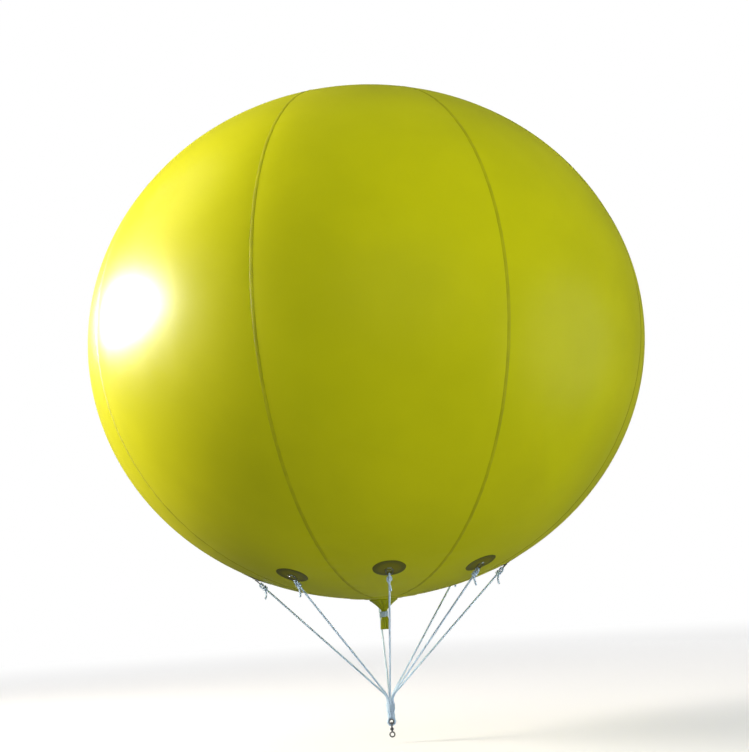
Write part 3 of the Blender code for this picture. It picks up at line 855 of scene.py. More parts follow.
def bundle_core(station, drop):
    """The round core that closes the middle of the bundle."""
    share = np.linspace(0, 1, 5)
    path = about_axis(0, 0, GATHER_HEIGHT - CORE_INSET - (drop - 2 * CORE_INSET) * share)
    return round_wire(path, station.strand_circle - CORE_GAP, ROPE_SIDES, np.array([0, -1.0, 0]))


def eye_surface():
    """The rope of the bundle's eye: a laid section carried round a circle about Y."""
    path = stood_up(about_axis(EYE_RADIUS, np.pi - full_turn(EYE_STEPS), 0), EYE_HEIGHT)
    reach = laid_section(
        path, EYE_ROPE_RADIUS, EYE_ROPE_SIDES, ROPE_STRANDS, EYE_LAY, spread=EYE_SPREAD, closed=True
    )
    return sweep(path, reach, np.array([0, -1.0, 0]), closed=True)


def turns_in(length, cord):
    """How many turns of a cord lie side by side in a length."""
    return int(length / (WINDING_PITCH * cord))


def wound(radius, cord, turns, top, start=0.0):
    """A cord wound round a core about Z: a helix whose turns lie side by side, its ends tucked inwards."""
    path = helix(radius + cord, turns, turns * WINDING_PITCH * cord, start)
    share = np.linspace(0, turns, len(path))
    ends = (1 - smooth(share, 0, 0.25)) + smooth(share, turns - 0.25, turns)
    path[:, :2] *= (1 - 1.5 * cord / radius * ends)[:, None]
    path[:, 2] += top - cord
    path = smooth_path(path, *CORD_STEP)
    distance = distances(path)
    near = np.minimum(distance, distance[-1] - distance)
    reach = laid_section(path, cord, CORD_SIDES, CORD_STRANDS, CORD_LAY, spread=CORD_SPREAD)
    reach = reach * rounding(near, CORD_END, 0.01)
    return Shell().grid(sweep(path, reach, np.array([0, 0, 1.0])), around=True, size=(distance[-1], 1))


def thimble_surface():
    """The eye's steel liner: a channel that hugs the rope from inside, its lips rounded, turned about Y."""
    angle = np.radians(180 + np.linspace(-62, 62, 15))
    inner, outer = EYE_ROPE_RADIUS + FIT_GAP, EYE_ROPE_RADIUS + THIMBLE_WALL
    sides = ((inner, angle), (outer, angle[::-1]))
    profile = np.vstack([np.stack([EYE_RADIUS + r * np.cos(a), r * np.sin(a)], 1) for r, a in sides])
    return stood_up(revolved(rounded(profile, LIP_ROUNDING, 3), THIMBLE_SIDES), EYE_HEIGHT)


def barrel_middle():
    """Height of the barrel's middle: its bow hangs in the thimble's hole, a bow's length above it."""
    hole = EYE_RADIUS - EYE_ROPE_RADIUS - THIMBLE_WALL
    return EYE_HEIGHT - hole + BOW_WIRE_RADIUS + RUNNING_GAP - BOW_LENGTH


def bow_surface():
    """The bow's wire: from the barrel out, up both sides and over as a flattened half circle."""
    foot = barrel_middle()
    turn = np.linspace(0, np.pi, 33)
    height = foot + BOW_LENGTH - BOW_ROUND + BOW_ROUND * np.sin(turn)
    arch = np.stack([0 * turn, BOW_HALF_WIDTH * np.cos(turn), height], 1)
    ends = np.array([(0, BARREL_RADIUS - 0.001, foot), (0, BOW_HALF_WIDTH, foot + BOW_SHOULDER)])
    path = smooth_path(np.vstack([ends, arch, ends[::-1] * np.array([1, -1, 1])]), *BOW_STEP)
    return round_wire(path, BOW_WIRE_RADIUS, BOW_SIDES, np.array([1.0, 0, 0]))


def barrel_surface():
    """The bow's barrel: a ring about Z with rounded rims, bored for the shank."""
    bore = SHANK_RADIUS + RUNNING_GAP
    top, bottom = barrel_middle() + BARREL_LENGTH / 2, barrel_middle() - BARREL_LENGTH / 2
    profile = [(bore, top), (BARREL_RADIUS, top), (BARREL_RADIUS, bottom), (bore, bottom)]
    return revolved(rounded(profile, RING_ROUNDING), BARREL_SIDES)


def shank_surface(ring_top):
    """The headed shank: its head on the barrel, its stem through the bore, and a foot in the ring's top."""
    head = barrel_middle() + BARREL_LENGTH / 2 + RUNNING_GAP
    profile = [
        (0.0002, head + SHANK_HEAD_HEIGHT),
        (SHANK_HEAD_RADIUS, head + SHANK_HEAD_HEIGHT),
        (SHANK_HEAD_RADIUS, head),
        (SHANK_RADIUS, head),
        (SHANK_RADIUS, ring_top + 0.001),
        (SHANK_RADIUS + 0.0015, ring_top - 0.005),
        (0.0002, ring_top - 0.006),
    ]
    return revolved(rounded(profile, SHANK_ROUNDING, closed=False), BARREL_SIDES)


def tether_ring_surface(ring_top):
    """The tether's ring: a flat-cheeked section with rounded edges, turned about Y."""
    cheek = TETHER_RING_THICKNESS / 2
    hole, rim = TETHER_HOLE_RADIUS, TETHER_RING_RADIUS
    profile = [(hole, cheek), (rim, cheek), (rim, -cheek), (hole, -cheek)]
    ring = revolved(rounded(profile, RING_ROUNDING), TETHER_RING_SIDES)
    return stood_up(ring, ring_top - TETHER_RING_RADIUS)


class Number:
    """A number in a node tree. Python's operators on it add the Math nodes that work the result out."""

    def __init__(self, nodes, socket):
        self.nodes = nodes
        self.socket = socket

    def math(self, operation, *others):
        """One Math node on this number and others."""
        node = self.nodes.node("ShaderNodeMath", {"operation": operation}, dict(enumerate((self, *others))))
        return Number(self.nodes, node.outputs[0])

    def __add__(self, other):
        return self.math("ADD", other)

    __radd__ = __add__

    def __sub__(self, other):
        return self.math("SUBTRACT", other)

    def __rsub__(self, other):
        return (self * -1) + other

    def __mul__(self, other):
        return self.math("MULTIPLY", other)

    def __truediv__(self, other):
        return self.math("DIVIDE", other)

    def __mod__(self, other):
        return self.math("FLOORED_MODULO", other)

    def __abs__(self):
        return self.math("ABSOLUTE")

    def root(self):
        """The square root."""
        return self.math("SQRT")

    def sin(self):
        """The sine."""
        return self.math("SINE")

    def cos(self):
        """The cosine."""
        return self.math("COSINE")

    def wave(self, length):
        """A sine wave of this length."""
        return (self * (2 * np.pi / length)).sin()

    def between(self, low, high):
        """0 below low, 1 above high, an even S between them."""
        node = self.nodes.node(
            "ShaderNodeMapRange",
            {"interpolation_type": "SMOOTHSTEP"},
            {"Value": self, "From Min": low, "From Max": high},
        )
        return Number(self.nodes, node.outputs[0])


class Nodes:
    """Adds nodes to one tree."""

    def __init__(self, tree):
        self.tree = tree

    def node(self, kind, settings=None, sockets=None):
        """Add a node: its settings, then values or links for its sockets, by name, identifier or number."""
        node = self.tree.nodes.new(kind)
        for name, value in (settings or {}).items():
            setattr(node, name, value)
        for key, value in (sockets or {}).items():
            self.join(node, key, value)
        return node

    def join(self, node, key, value):
        """Link a socket to a value's node, or set its constant."""
        if isinstance(key, int):
            socket = node.inputs[key]
        else:
            socket = next(s for s in node.inputs if key in (s.identifier, s.name))
        if isinstance(value, Number):
            value = value.socket
        if isinstance(value, bpy.types.NodeSocket):
            self.tree.links.new(value, socket)
        else:
            socket.default_value = value

    def place(self):
        """Where a point lies on its object, which is where it lies in the world."""
        return self.node("ShaderNodeTexCoord").outputs["Object"]

    def parts(self, vector):
        """The three numbers of a vector."""
        node = self.node("ShaderNodeSeparateXYZ", sockets={0: vector})
        return [Number(self, socket) for socket in node.outputs]

    def map_place(self):
        """Across and along, from the piece's UV map."""
        return self.parts(self.node("ShaderNodeUVMap", {"uv_map": "UVMap"}).outputs[0])[:2]

    def noise(self, vector, scale, detail=2.0, roughness=0.5):
        """Soft noise between 0 and 1."""
        sockets = {"Vector": vector, "Scale": scale, "Detail": detail, "Roughness": roughness}
        return Number(self, self.node("ShaderNodeTexNoise", sockets=sockets).outputs[0])

    def vector(self, x, y, z):
        """A vector made of three numbers."""
        return self.node("ShaderNodeCombineXYZ", sockets={0: x, 1: y, 2: z}).outputs[0]

    def mix(self, share, first, second):
        """A colour between two colours."""
        sockets = {"Factor_Float": share, "A_Color": first, "B_Color": second}
        node = self.node("ShaderNodeMix", {"data_type": "RGBA"}, sockets)
        return next(s for s in node.outputs if s.identifier == "Result_Color")

    def bump(self, height, strength, distance, before=None):
        """A normal tipped by the slope of a height, on top of the normal before it."""
        sockets = {"Height": height, "Strength": strength, "Distance": distance}
        if before is not None:
            sockets["Normal"] = before
        return self.node("ShaderNodeBump", sockets=sockets).outputs[0]

    def glow(self, strength):
        """White light of a strength."""
        sockets = {"Color": (1, 1, 1, 1), "Strength": strength}
        return self.node("ShaderNodeEmission", sockets=sockets).outputs[0]


class Finish(Nodes):
    """Builds one material's nodes around its Principled shader."""

    def __init__(self, name):
        self.material = bpy.data.materials.new(name)
        self.material.use_nodes = True
        super().__init__(self.material.node_tree)
        self.shader = self.tree.nodes["Principled BSDF"]
        self.output = self.tree.nodes["Material Output"]

    def set(self, **values):
        """Values or links for the shader's own sockets, with underscores for the spaces in their names."""
        for key, value in values.items():
            self.join(self.shader, key.replace("_", " "), value)
        return self.material

    def blend(self, share, other):
        """Mix the Principled shader with another one."""
        sockets = {0: share, 1: self.shader.outputs[0], 2: other}
        node = self.node("ShaderNodeMixShader", sockets=sockets)
        self.tree.links.new(node.outputs[0], self.output.inputs[0])
        return self.material


def shade(colour, factor, warm=0.0):
    """A colour made lighter or darker, and a little redder or greener."""
    red, green, blue = colour
    return (min(red * factor * (1 + warm), 1), min(green * factor, 1), min(blue * factor, 1), 1)


def film_finish(colours, name="balloon_film", glow=True, depth=1.0, warm=0.0):
    """Glossy PVC film: faint clouds of thickness in colour and gloss, and a broad, shallow waviness. A depth
    below one makes its colour deeper, as for doubled or folded film."""
    finish = Finish(name)
    place = finish.place()
    clouds = finish.noise(place, 1.7, 3.0)
    fine = finish.noise(place, 14.0, 2.0)
    dark, light = shade(colours.film, 0.95 * depth, warm), shade(colours.film, 1.05 * depth, warm + 0.01)
    colour = finish.mix(clouds.between(0.3, 0.7), dark, light)
    waves = finish.bump(finish.noise(place, 5.0, 1.0), 0.25, 0.004)
    material = finish.set(
        Base_Color=colour,
        Roughness=colours.film_roughness + (clouds - 0.5) * 0.06 + (fine - 0.5) * 0.05,
        Normal=finish.bump(fine, 0.12, 0.0008, waves),
        IOR=FILM_IOR,
    )
    if glow:
        through = finish.node("ShaderNodeBsdfTranslucent", sockets={"Color": colour})
        finish.blend(colours.film_glow, through.outputs[0])
    return material


def weld_finish(colours):
    """Doubled film at a seam: deeper in colour, pressed with a fine cross pattern by the welding tool."""
    finish = Finish("seam_film")
    across, along = finish.map_place()
    clouds = finish.noise(finish.place(), 9.0, 3.0)
    press = along.wave(0.004) * across.wave(1 / 12)
    return finish.set(
        Base_Color=finish.mix(clouds.between(0.35, 0.7), shade(colours.weld, 0.9), shade(colours.weld, 1.12)),
        Roughness=0.50 + (clouds - 0.5) * 0.1,
        Normal=finish.bump(press, 0.15, 0.0003),
        IOR=FILM_IOR,
    )


def patch_finish(colours, station):
    """Doubled film of a rope patch: a dark welded rim with a fine grid pressed in, and a paler middle. The
    distance from the patch's middle is measured after turning the place back to the first gore."""
    finish = Finish("patch_film")
    place = finish.place()
    x, y, z = finish.parts(place)
    radius = (x * x + y * y).root()
    local = from_gore_middle(x.math("ARCTAN2", y * -1)) * GORE_ANGLE
    outwards = radius * local.cos() + float(station.centre[1])
    sideways = radius * local.sin()
    downwards = z - float(station.centre[2])
    off = (outwards * outwards + sideways * sideways + downwards * downwards).root()
    edge = float(station.size.patch_radius)
    middle = 1 - off.between(edge * 0.55, edge * PATCH_CROWN_END)
    clouds = finish.noise(place, 30.0, 4.0, 0.6)
    rim = finish.mix(clouds.between(0.3, 0.7), shade(colours.patch, 0.85), shade(colours.patch, 1.1))
    grid = sideways.wave(0.0035) * downwards.wave(0.0035) * (1 - middle)
    return finish.set(
        Base_Color=finish.mix(middle, rim, shade(colours.patch, 1.75, 0.02)),
        Roughness=0.38 + middle * 0.12 + (clouds - 0.5) * 0.1,
        Normal=finish.bump(clouds, 0.15, 0.0006, finish.bump(grid, 0.4, 0.0003)),
        IOR=FILM_IOR,
    )


def webbing_finish(colours):
    """Woven strap: ribs across it and finer threads along it, with a soft sheen."""
    finish = Finish("strap_weave")
    across, along = finish.map_place()
    weave = along.wave(0.0011) * across.wave(1 / 46)
    wear = finish.noise(finish.place(), 120.0, 3.0)
    return finish.set(
        Base_Color=finish.mix(wear.between(0.3, 0.75), shade(colours.patch, 1.2), shade(colours.patch, 2.0)),
        Roughness=0.62 + (wear - 0.5) * 0.15,
        Normal=finish.bump(weave, 0.5, 0.0003),
        Sheen_Weight=0.25,
    )


def rope_finish(name, colour, strands, lay):
    """Laid rope: the yarns of each strand slant across it, the grooves between strands get painted shade, and
    fine fuzz breaks up the light. The UV map runs once round the rope and along it in metres."""
    finish = Finish(name)
    around, along = finish.map_place()
    place = finish.place()
    in_strand = ((around - along / lay) * strands + 0.5) % 1 - 0.5
    # Painted shade: the colour is darkened in the grooves where the strands meet
    groove_shade = abs(in_strand).between(0.28, 0.5)
    yarn = (in_strand * (6 * np.pi) + along * (2 * np.pi / lay * 5)).sin()
    fuzz = finish.noise(place, 900.0, 3.0, 0.7)
    soiled = finish.noise(place, 8.0, 3.0)
    clean = finish.mix(fuzz.between(0.3, 0.7), shade(colour, 0.94), shade(colour, 1.10))
    worn = finish.mix(soiled.between(0.5, 0.8) * 0.35, clean, shade(colour, 0.9, 0.04))
    return finish.set(
        Base_Color=finish.mix(groove_shade * 0.7, worn, shade(colour, 0.72)),
        Roughness=0.72 + (fuzz - 0.5) * 0.2,
        Normal=finish.bump(fuzz, 0.35, 0.0004, finish.bump(yarn, 0.45, 0.0005)),
        Sheen_Weight=0.3,
        Sheen_Roughness=0.5,
    )


def thread_finish(colours):
    """Pale sewing thread with slanting plies, darkened in their grooves as painted shade."""
    finish = Finish("strap_thread")
    around, along = finish.map_place()
    ply_relief_and_shade = (around + along / 0.0012).wave(0.5)
    return finish.set(
        # Painted shade: the thread is darker where the plies' relief is low
        Base_Color=finish.mix(ply_relief_and_shade.between(-1, 1), shade(colours.rope, 0.7), shade(colours.rope, 1.0)),
        Roughness=0.6,
        Normal=finish.bump(ply_relief_and_shade, 0.4, 0.0002),
    )


def steel_finish(colours):
    """Satin steel: fine brushed streaks in gloss and faint darker tarnish."""
    finish = Finish("satin_steel")
    place = finish.place()
    x, y, z = finish.parts(place)
    streaks = finish.noise(finish.vector(x * 60, y * 60, z * 900), 8.0, 3.0)
    tarnish = finish.noise(place, 70.0, 4.0, 0.6)
    clean, dull = shade(colours.steel, 1.1), shade(colours.steel, 0.55, 0.03)
    return finish.set(
        Base_Color=finish.mix(tarnish.between(0.35, 0.75), clean, dull),
        Metallic=1.0,
        Roughness=0.30 + (streaks - 0.5) * 0.16 + tarnish.between(0.4, 0.8) * 0.15,
        Normal=finish.bump(streaks, 0.1, 0.0003),
    )


def floor_finish(reach):
    """Pale matt floor that goes over into the backdrop's white with distance."""
    finish = Finish("studio_floor")
    x, y, _ = finish.parts(finish.place())
    far = (x * x + y * y).root().between(0, reach) * 0.6 + 0.4
    finish.set(Base_Color=(0.86, 0.87, 0.88, 1), Roughness=0.9)
    return finish.blend(far, finish.glow(1.0))


def glow_finish(name, strength):
    """An even white light."""
    finish = Finish(name)
    finish.tree.links.new(finish.glow(strength), finish.output.inputs[0])
    return finish.material


class EnvelopeSize(bpy.types.PropertyGroup):
    """Sizes of the film envelope."""

    equator_radius: FloatProperty(
        name="Equator radius", description="Half of the width", default=-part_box("gore_1")[0].y, unit="LENGTH"
    )
    pole_height: FloatProperty(
        name="Pole height", description="Centre to the crown's film", default=1.380, unit="LENGTH"
    )
    seam_pull: FloatProperty(
        name="Seam pull", description="How far the film is drawn in at a seam", default=0.006, unit="LENGTH"
    )
    film_thickness: FloatProperty(
        name="Film thickness", description="Thickness of the film", default=0.0005, unit="LENGTH"
    )
    weld_width: FloatProperty(
        name="Weld width", description="Width of a seam's lap", default=0.017, unit="LENGTH"
    )
    weld_height: FloatProperty(
        name="Weld height", description="Height of a seam's lap", default=0.0015, unit="LENGTH"
    )
    pucker_height: FloatProperty(
        name="Puckers", description="Height of the film's ripples", default=0.0012, unit="LENGTH"
    )
    patch_ring_radius: FloatProperty(
        name="Patch ring", description="Radius of the ring of rope patches", default=0.669, unit="LENGTH"
    )
    patch_radius: FloatProperty(
        name="Patch radius", description="Radius of a rope patch", default=0.0825, unit="LENGTH"
    )
    patch_thickness: FloatProperty(
        name="Patch thickness", description="A rope patch's middle", default=0.003, unit="LENGTH"
    )


class BridleSize(bpy.types.PropertyGroup):
    """Sizes of the straps, rings and ropes."""

    strap_width: FloatProperty(
        name="Strap width", description="Width of a ring's strap", default=0.022, unit="LENGTH"
    )
    strap_thickness: FloatProperty(
        name="Strap thickness", description="Thickness of the strap", default=0.002, unit="LENGTH"
    )
    strap_foot: FloatProperty(
        name="Strap foot", description="Half of the strap's length", default=0.020, unit="LENGTH"
    )
    ring_wire_radius: FloatProperty(
        name="Ring wire", description="Radius of the ring's wire", default=0.0025, unit="LENGTH"
    )
    ring_half_width: FloatProperty(
        name="Ring width", description="Half of the ring's width", default=0.0185, unit="LENGTH"
    )
    ring_length: FloatProperty(
        name="Ring length", description="Bar to bow of the ring", default=0.038, unit="LENGTH"
    )
    rope_radius: FloatProperty(
        name="Rope radius", description="Radius of a bridle rope", default=0.0055, unit="LENGTH"
    )
    lay_length: FloatProperty(
        name="Lay", description="Length of one turn of the strands", default=0.033, unit="LENGTH"
    )
    eye_radius: FloatProperty(
        name="Eye radius", description="Radius of the rope's bend", default=0.0085, unit="LENGTH"
    )
    gather_bend: FloatProperty(
        name="Gather bend", description="Length of the bend at the bundle", default=0.030, unit="LENGTH"
    )
    bundle_twist: FloatProperty(
        name="Bundle twist", description="Turn of the bundle, in degrees", default=105.0
    )


class FinishColours(bpy.types.PropertyGroup):
    """Colours and gloss of the finishes."""

    film: FloatVectorProperty(
        name="Film", description="Colour of the film", default=(0.61, 0.63, 0.003), subtype="COLOR"
    )
    film_roughness: FloatProperty(
        name="Film roughness", description="Roughness of the film's gloss", default=0.34
    )
    film_glow: FloatProperty(
        name="Film glow", description="Share of light that the film lets through", default=0.15
    )
    weld: FloatVectorProperty(
        name="Seams", description="Colour of the doubled film", default=(0.40, 0.41, 0.002), subtype="COLOR"
    )
    patch: FloatVectorProperty(
        name="Patches", description="Colour of the rope patches", default=(0.10, 0.10, 0.006), subtype="COLOR"
    )
    # Pale blue: the ropes are white, with the blue of sky light painted into their colour; the thread and
    # cords share it
    rope: FloatVectorProperty(
        name="Rope", description="Colour of the ropes", default=(0.60, 0.78, 1.0), subtype="COLOR"
    )
    steel: FloatVectorProperty(
        name="Steel", description="Colour of the fittings", default=(0.42, 0.43, 0.45), subtype="COLOR"
    )


class StudioSize(bpy.types.PropertyGroup):
    """Camera, floor and lights."""

    distance: FloatProperty(
        name="Distance", description="Camera to the balloon's axis", default=7.08, unit="LENGTH"
    )
    drop: FloatProperty(
        name="Drop", description="Camera below the envelope's centre", default=1.35, unit="LENGTH"
    )
    azimuth: FloatProperty(name="Azimuth", description="Where the camera stands, in degrees", default=-3.2)
    heading: FloatProperty(name="Heading", description="Camera turned to the right, in degrees", default=0.25)
    pitch: FloatProperty(name="Pitch", description="Camera turned up, in degrees", default=9.4)
    roll: FloatProperty(name="Roll", description="Camera tipped to the right, in degrees", default=3.8)
    focal_length: FloatProperty(
        name="Lens", description="Focal length on a 36 mm sensor, in millimetres", default=62.7
    )
    floor_drop: FloatProperty(
        name="Floor gap", description="Floor below the lowest fitting", default=0.03, unit="LENGTH"
    )
    room_radius: FloatProperty(
        name="Room", description="Radius of the floor and the backdrop", default=40.0, unit="LENGTH"
    )
    ambient: FloatProperty(name="Ambient", description="Strength of the soft light all round", default=0.085)
    lamp_distance: FloatProperty(
        name="Lamps", description="Distance of the lamps", default=8.0, unit="LENGTH"
    )


def sizes():
    """The envelope's and the bridle's sizes, and the colours."""
    scene = bpy.context.scene
    return scene.balloon_envelope, scene.balloon_bridle, scene.balloon_colours


class BALLOON_OT_gores(bpy.types.Operator):
    """Eight gores of film, each from the base hole to the crown hole, drawn in and puckered at its seams"""

    bl_idname = "balloon.gores"
    bl_label = "Gores"

    def execute(self, context):
        size, _, colours = sizes()
        finish = film_finish(colours)
        width, length, area = gore_area(size)
        for k in range(GORES):
            shell = Shell().grid(gore_surface(size, k), size=(length, 1))
            film = add_piece(f"gore_film_{k + 1}", shell, finish, replaces=[f"gore_{k + 1}"])
            wall = film.modifiers.new("film", "SOLIDIFY")
            wall.thickness = size.film_thickness
            wall.offset = -1
        return {"FINISHED"}


class BALLOON_OT_seam_welds(bpy.types.Operator):
    """Eight welded laps, one along each seam between the discs"""

    bl_idname = "balloon.seam_welds"
    bl_label = "Seam welds"

    def execute(self, context):
        size, _, colours = sizes()
        finish = weld_finish(colours)
        _, length, _ = gore_area(size)
        for k in range(GORES):
            shell = Shell().grid(weld_surface(size, k), around=True, size=(length, 1))
            add_piece(f"seam_weld_{k + 1}", shell, finish)
        return {"FINISHED"}


class BALLOON_OT_end_discs(bpy.types.Operator):
    """The crown disc and the base disc, which cover the gores' ends"""

    bl_idname = "balloon.end_discs"
    bl_label = "End discs"

    def execute(self, context):
        size, _, colours = sizes()
        finish = film_finish(colours, "disc_film", glow=False, depth=0.86)
        crown = Shell().grid(crown_surface(size), around=True)
        add_piece("crown_film", crown, finish, replaces=["crown_disc"])
        base = Shell().grid(base_surface(size), around=True, along=True)
        add_piece("base_film", base, finish, replaces=["base_disc"])
        return {"FINISHED"}


class BALLOON_OT_filling_neck(bpy.types.Operator):
    """The gathered filling neck with its tail, and the cord that ties it"""

    bl_idname = "balloon.filling_neck"
    bl_label = "Filling neck"

    def execute(self, context):
        _, _, colours = sizes()
        neck = Shell().grid(neck_surface(), around=True)
        finish = film_finish(colours, "neck_film", glow=False, depth=0.62, warm=-0.08)
        add_piece("neck_film", neck, finish, replaces=["filling_neck"])
        turns = turns_in(NECK_TIE_BOTTOM - NECK_TIE_TOP, TIE_CORD_RADIUS)
        tie = wound(NECK_WAIST, TIE_CORD_RADIUS, turns, NECK_TOP - NECK_TIE_TOP, start=0.4)
        cord = rope_finish("tie_cord", colours.rope, CORD_STRANDS, CORD_LAY)
        add_piece("neck_cord", tie, cord, replaces=["neck_tie"])
        return {"FINISHED"}


class BALLOON_OT_rope_patches(bpy.types.Operator):
    """Eight rope patches, each with its strap, stitching and D-ring"""

    bl_idname = "balloon.rope_patches"
    bl_label = "Rope patches"

    def execute(self, context):
        size, bridle, colours = sizes()
        station = Station(size)
        film, weave = patch_finish(colours, station), webbing_finish(colours)
        thread, steel = thread_finish(colours), steel_finish(colours)
        patch, strap = patch_surface(station), strap_surface(station, bridle)
        stitches, ring = stitch_surfaces(station, bridle), ring_surface(station, bridle)
        # Name, surfaces, finish, slot, node that it stands for, closed along its rows, length of the UV map
        pieces = (
            ("rope_patch_film", [patch], film, "film_patch", "rope_patch", False, 1),
            ("patch_strap", [strap], weave, "film_patch", None, False, 2 * bridle.strap_foot),
            ("strap_stitching", stitches, thread, "rope", None, False, 2 * STITCH_REACH),
            ("patch_ring_wire", [ring], steel, "steel", "patch_ring", True, 1),
        )
        for k in range(GORES):
            for name, surfaces, finish, slot, node, closed, length in pieces:
                shell = Shell()
                for surface in surfaces:
                    shell.grid(turned(surface, k * GORE_ANGLE), around=True, along=closed, size=(length, 1))
                replaced = [f"{node}_{k + 1}"] if node else []
                add_piece(f"{name}_{k + 1}", shell, finish, replaces=replaced)
        return {"FINISHED"}


class BALLOON_OT_bridle_ropes(bpy.types.Operator):
    """Eight taut three-strand ropes, each knotted round its ring's bow with a short loose tail"""

    bl_idname = "balloon.bridle_ropes"
    bl_label = "Bridle ropes"

    def execute(self, context):
        size, bridle, colours = sizes()
        finish = rope_finish("bridle_rope_lay", colours.rope, ROPE_STRANDS, bridle.lay_length)
        rope, length = rope_surface(Station(size), bridle)
        for k in range(GORES):
            shell = Shell().grid(turned(rope, k * GORE_ANGLE), around=True, size=(length, 1))
            add_piece(f"bridle_rope_lay_{k + 1}", shell, finish, replaces=[f"bridle_rope_{k + 1}"])
        return {"FINISHED"}


class BALLOON_OT_rope_bundle(bpy.types.Operator):
    """The eight ropes laid up as one, their whipping, and the eye below them"""

    bl_idname = "balloon.rope_bundle"
    bl_label = "Rope bundle"

    def execute(self, context):
        size, bridle, colours = sizes()
        station = Station(size)
        drop = GATHER_HEIGHT - EYE_HEIGHT - EYE_RADIUS
        bundle = Shell()
        for k in range(GORES):
            points, length = bundle_strand(station, bridle, k, drop)
            bundle.grid(points, around=True, size=(length, 1))
        bundle.grid(bundle_core(station, drop), around=True)
        finish = rope_finish("bundle_rope_lay", colours.rope, ROPE_STRANDS, bridle.lay_length)
        add_piece("rope_bundle_lay", bundle, finish, replaces=["rope_bundle"])
        eye = Shell().grid(eye_surface(), around=True, along=True, size=(2 * np.pi * EYE_RADIUS, 1))
        laid = rope_finish("eye_rope_lay", colours.rope, ROPE_STRANDS, EYE_LAY)
        add_piece("bundle_eye_lay", eye, laid)
        cord = rope_finish("whipping_cord_lay", colours.rope, CORD_STRANDS, CORD_LAY)
        radius = station.strand_circle + bridle.rope_radius
        turns = turns_in(WHIPPING_LENGTH, WHIPPING_CORD_RADIUS)
        whipping = wound(radius, WHIPPING_CORD_RADIUS, turns, GATHER_HEIGHT - WHIPPING_TOP)
        add_piece("whipping_cord", whipping, cord, replaces=["bridle_whipping"])
        top = GATHER_HEIGHT - drop + THROAT_RISE
        throat = wound(radius - THROAT_INSET, THROAT_CORD_RADIUS, THROAT_TURNS, top, start=2.0)
        add_piece("throat_cord", throat, cord)
        return {"FINISHED"}


class BALLOON_OT_swivel(bpy.types.Operator):
    """The thimble in the rope's eye, the bow with its barrel, and the headed shank with the tether's eye"""

    bl_idname = "balloon.swivel"
    bl_label = "Swivel"

    def execute(self, context):
        _, _, colours = sizes()
        steel = steel_finish(colours)
        thimble = Shell().grid(thimble_surface(), around=True, along=True)
        add_piece("thimble_steel", thimble, steel, replaces=["eye_thimble"])
        bow = Shell().grid(bow_surface(), around=True)
        bow.grid(barrel_surface(), around=True, along=True)
        add_piece("swivel_bow_steel", bow, steel, body="swivel_bow", replaces=["swivel_bow"])
        ring_top = barrel_middle() - BARREL_LENGTH / 2 - RUNNING_GAP - SHANK_DROP
        lower = Shell().grid(shank_surface(ring_top), around=True)
        lower.grid(tether_ring_surface(ring_top), around=True, along=True)
        add_piece("tether_eye_steel", lower, steel, body="tether_eye", replaces=["tether_eye"])
        return {"FINISHED"}


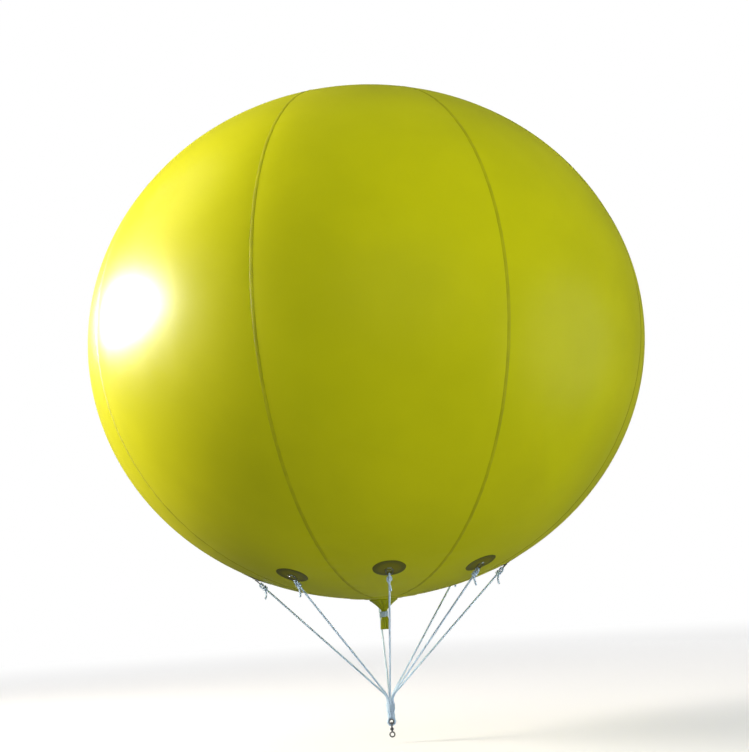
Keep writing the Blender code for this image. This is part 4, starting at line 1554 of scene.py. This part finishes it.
class BALLOON_OT_studio(bpy.types.Operator):
    """Pale floor and backdrop, soft lights, and a camera at the photograph's angle"""

    bl_idname = "balloon.studio"
    bl_label = "Studio"

    def execute(self, context):
        studio = context.scene.balloon_studio
        self.add_room(studio)
        self.add_lights(context, studio)
        self.add_camera(context, studio)
        context.scene.view_settings.view_transform = "Standard"
        return {"FINISHED"}

    def add_room(self, studio):
        """The floor is a disc of rings, the backdrop a sphere that only the camera sees, and inside it lies a
        sphere of soft light that the camera doesn't see."""
        angle = full_turn(STAGE_SIDES)
        rings = np.geomspace(0.3, studio.room_radius, 24)[:, None]
        height = CAD_BOX[0].z - studio.floor_drop
        disc = np.stack(np.broadcast_arrays(rings * np.sin(angle), rings * np.cos(angle), height), -1)
        disc[0, :, :2] = 0
        self.add_stage("floor", disc, floor_finish(0.4 * studio.room_radius), camera=True)
        latitude = np.linspace(-np.pi / 2, np.pi / 2, 25)[:, None]
        level, up = np.cos(latitude), np.sin(latitude)
        sphere = np.stack(np.broadcast_arrays(level * np.sin(angle), level * np.cos(angle), up), -1)
        sphere = sphere * studio.room_radius
        self.add_stage("backdrop", sphere, glow_finish("backdrop", 1.0), camera=True)
        self.add_stage("ambient_dome", 0.97 * sphere, glow_finish("ambient", studio.ambient), light=True)

    def add_stage(self, name, points, finish, camera=False, light=False):
        """Put a part of the room into the scene: it shows to the camera or gives light, without a shadow."""
        mesh = Shell().grid(points, around=True, capped=False).mesh(name)
        mesh.materials.append(finish)
        obj = bpy.data.objects.new(name, mesh)
        bpy.context.scene.collection.objects.link(obj)
        obj.visible_camera = camera
        obj.visible_glossy = obj.visible_diffuse = light
        obj.visible_transmission = obj.visible_shadow = False

    def add_lights(self, context, studio):
        """Oval lamps that face the balloon. Each is sampled as a lamp only, because a ray that finds it by
        chance would light matt and glossy surfaces alike."""
        for name, (watts, width, height, azimuth, elevation, colour, matt, gloss) in LAMPS.items():
            azimuth, elevation = np.radians(azimuth), np.radians(elevation)
            level = Vector(about_axis(1, azimuth, 0))
            direction = level * np.cos(elevation) + Vector((0, 0, np.sin(elevation)))
            lamp = bpy.data.lights.new(name, "AREA")
            lamp.shape = "ELLIPSE"
            lamp.size, lamp.size_y = width, height
            lamp.energy = watts
            lamp.color = colour
            lamp.cycles.use_multiple_importance_sampling = False
            light = bpy.data.objects.new(name, lamp)
            light.location = direction * studio.lamp_distance
            light.rotation_euler = direction.to_track_quat("Z", "Y").to_euler()
            light.visible_camera = False
            light.visible_diffuse, light.visible_glossy = matt, gloss
            context.scene.collection.objects.link(light)

    def add_camera(self, context, studio):
        """The camera looks level towards the axis, then turns by the heading, up by the pitch and over by the
        roll."""
        azimuth = np.radians(studio.azimuth)
        heading = azimuth + np.pi - np.radians(studio.heading)
        pitch, roll = np.radians(studio.pitch), np.radians(studio.roll)
        forward = Vector(about_axis(1, heading, 0)) * np.cos(pitch) + Vector((0, 0, np.sin(pitch)))
        right = forward.cross(Vector((0, 0, 1))).normalized()
        up = right.cross(forward)
        tipped_right = right * np.cos(roll) - up * np.sin(roll)
        tipped_up = up * np.cos(roll) + right * np.sin(roll)
        data = bpy.data.cameras.new("camera")
        data.lens = studio.focal_length
        data.clip_end = 3 * studio.room_radius
        camera = bpy.data.objects.new("camera", data)
        place = Vector(about_axis(studio.distance, azimuth, -studio.drop))
        basis = Matrix((tipped_right, tipped_up, -forward)).transposed()
        camera.matrix_world = Matrix.Translation(place) @ basis.to_4x4()
        context.scene.collection.objects.link(camera)
        context.scene.camera = camera


class BALLOON_PT_parts(bpy.types.Panel):
    """Lists the balloon's pieces in the order they are built"""

    bl_idname = "BALLOON_PT_parts"
    bl_label = "Advertising Balloon"
    bl_space_type = "VIEW_3D"
    bl_region_type = "UI"
    bl_category = "Balloon"

    def draw(self, context):
        """One button for each operator."""
        for operator in OPERATORS:
            self.layout.operator(operator.bl_idname)


GROUPS = {
    "balloon_envelope": EnvelopeSize,
    "balloon_bridle": BridleSize,
    "balloon_colours": FinishColours,
    "balloon_studio": StudioSize,
}
OPERATORS = (
    BALLOON_OT_studio,
    BALLOON_OT_gores,
    BALLOON_OT_seam_welds,
    BALLOON_OT_end_discs,
    BALLOON_OT_filling_neck,
    BALLOON_OT_rope_patches,
    BALLOON_OT_bridle_ropes,
    BALLOON_OT_rope_bundle,
    BALLOON_OT_swivel,
)


def register():
    """Add the sizes, operators and panel to Blender."""
    for name, group in GROUPS.items():
        bpy.utils.register_class(group)
        setattr(bpy.types.Scene, name, PointerProperty(type=group))
    for cls in (*OPERATORS, BALLOON_PT_parts):
        bpy.utils.register_class(cls)


def unregister():
    """Take them out again."""
    for cls in reversed((*OPERATORS, BALLOON_PT_parts)):
        bpy.utils.unregister_class(cls)
    for name, group in reversed(GROUPS.items()):
        delattr(bpy.types.Scene, name)
        bpy.utils.unregister_class(group)


def main():
    """Build every piece in order."""
    register()
    for operator in OPERATORS:
        group, name = operator.bl_idname.split(".")
        getattr(getattr(bpy.ops, group), name)()


if __name__ == "__main__":
    main()
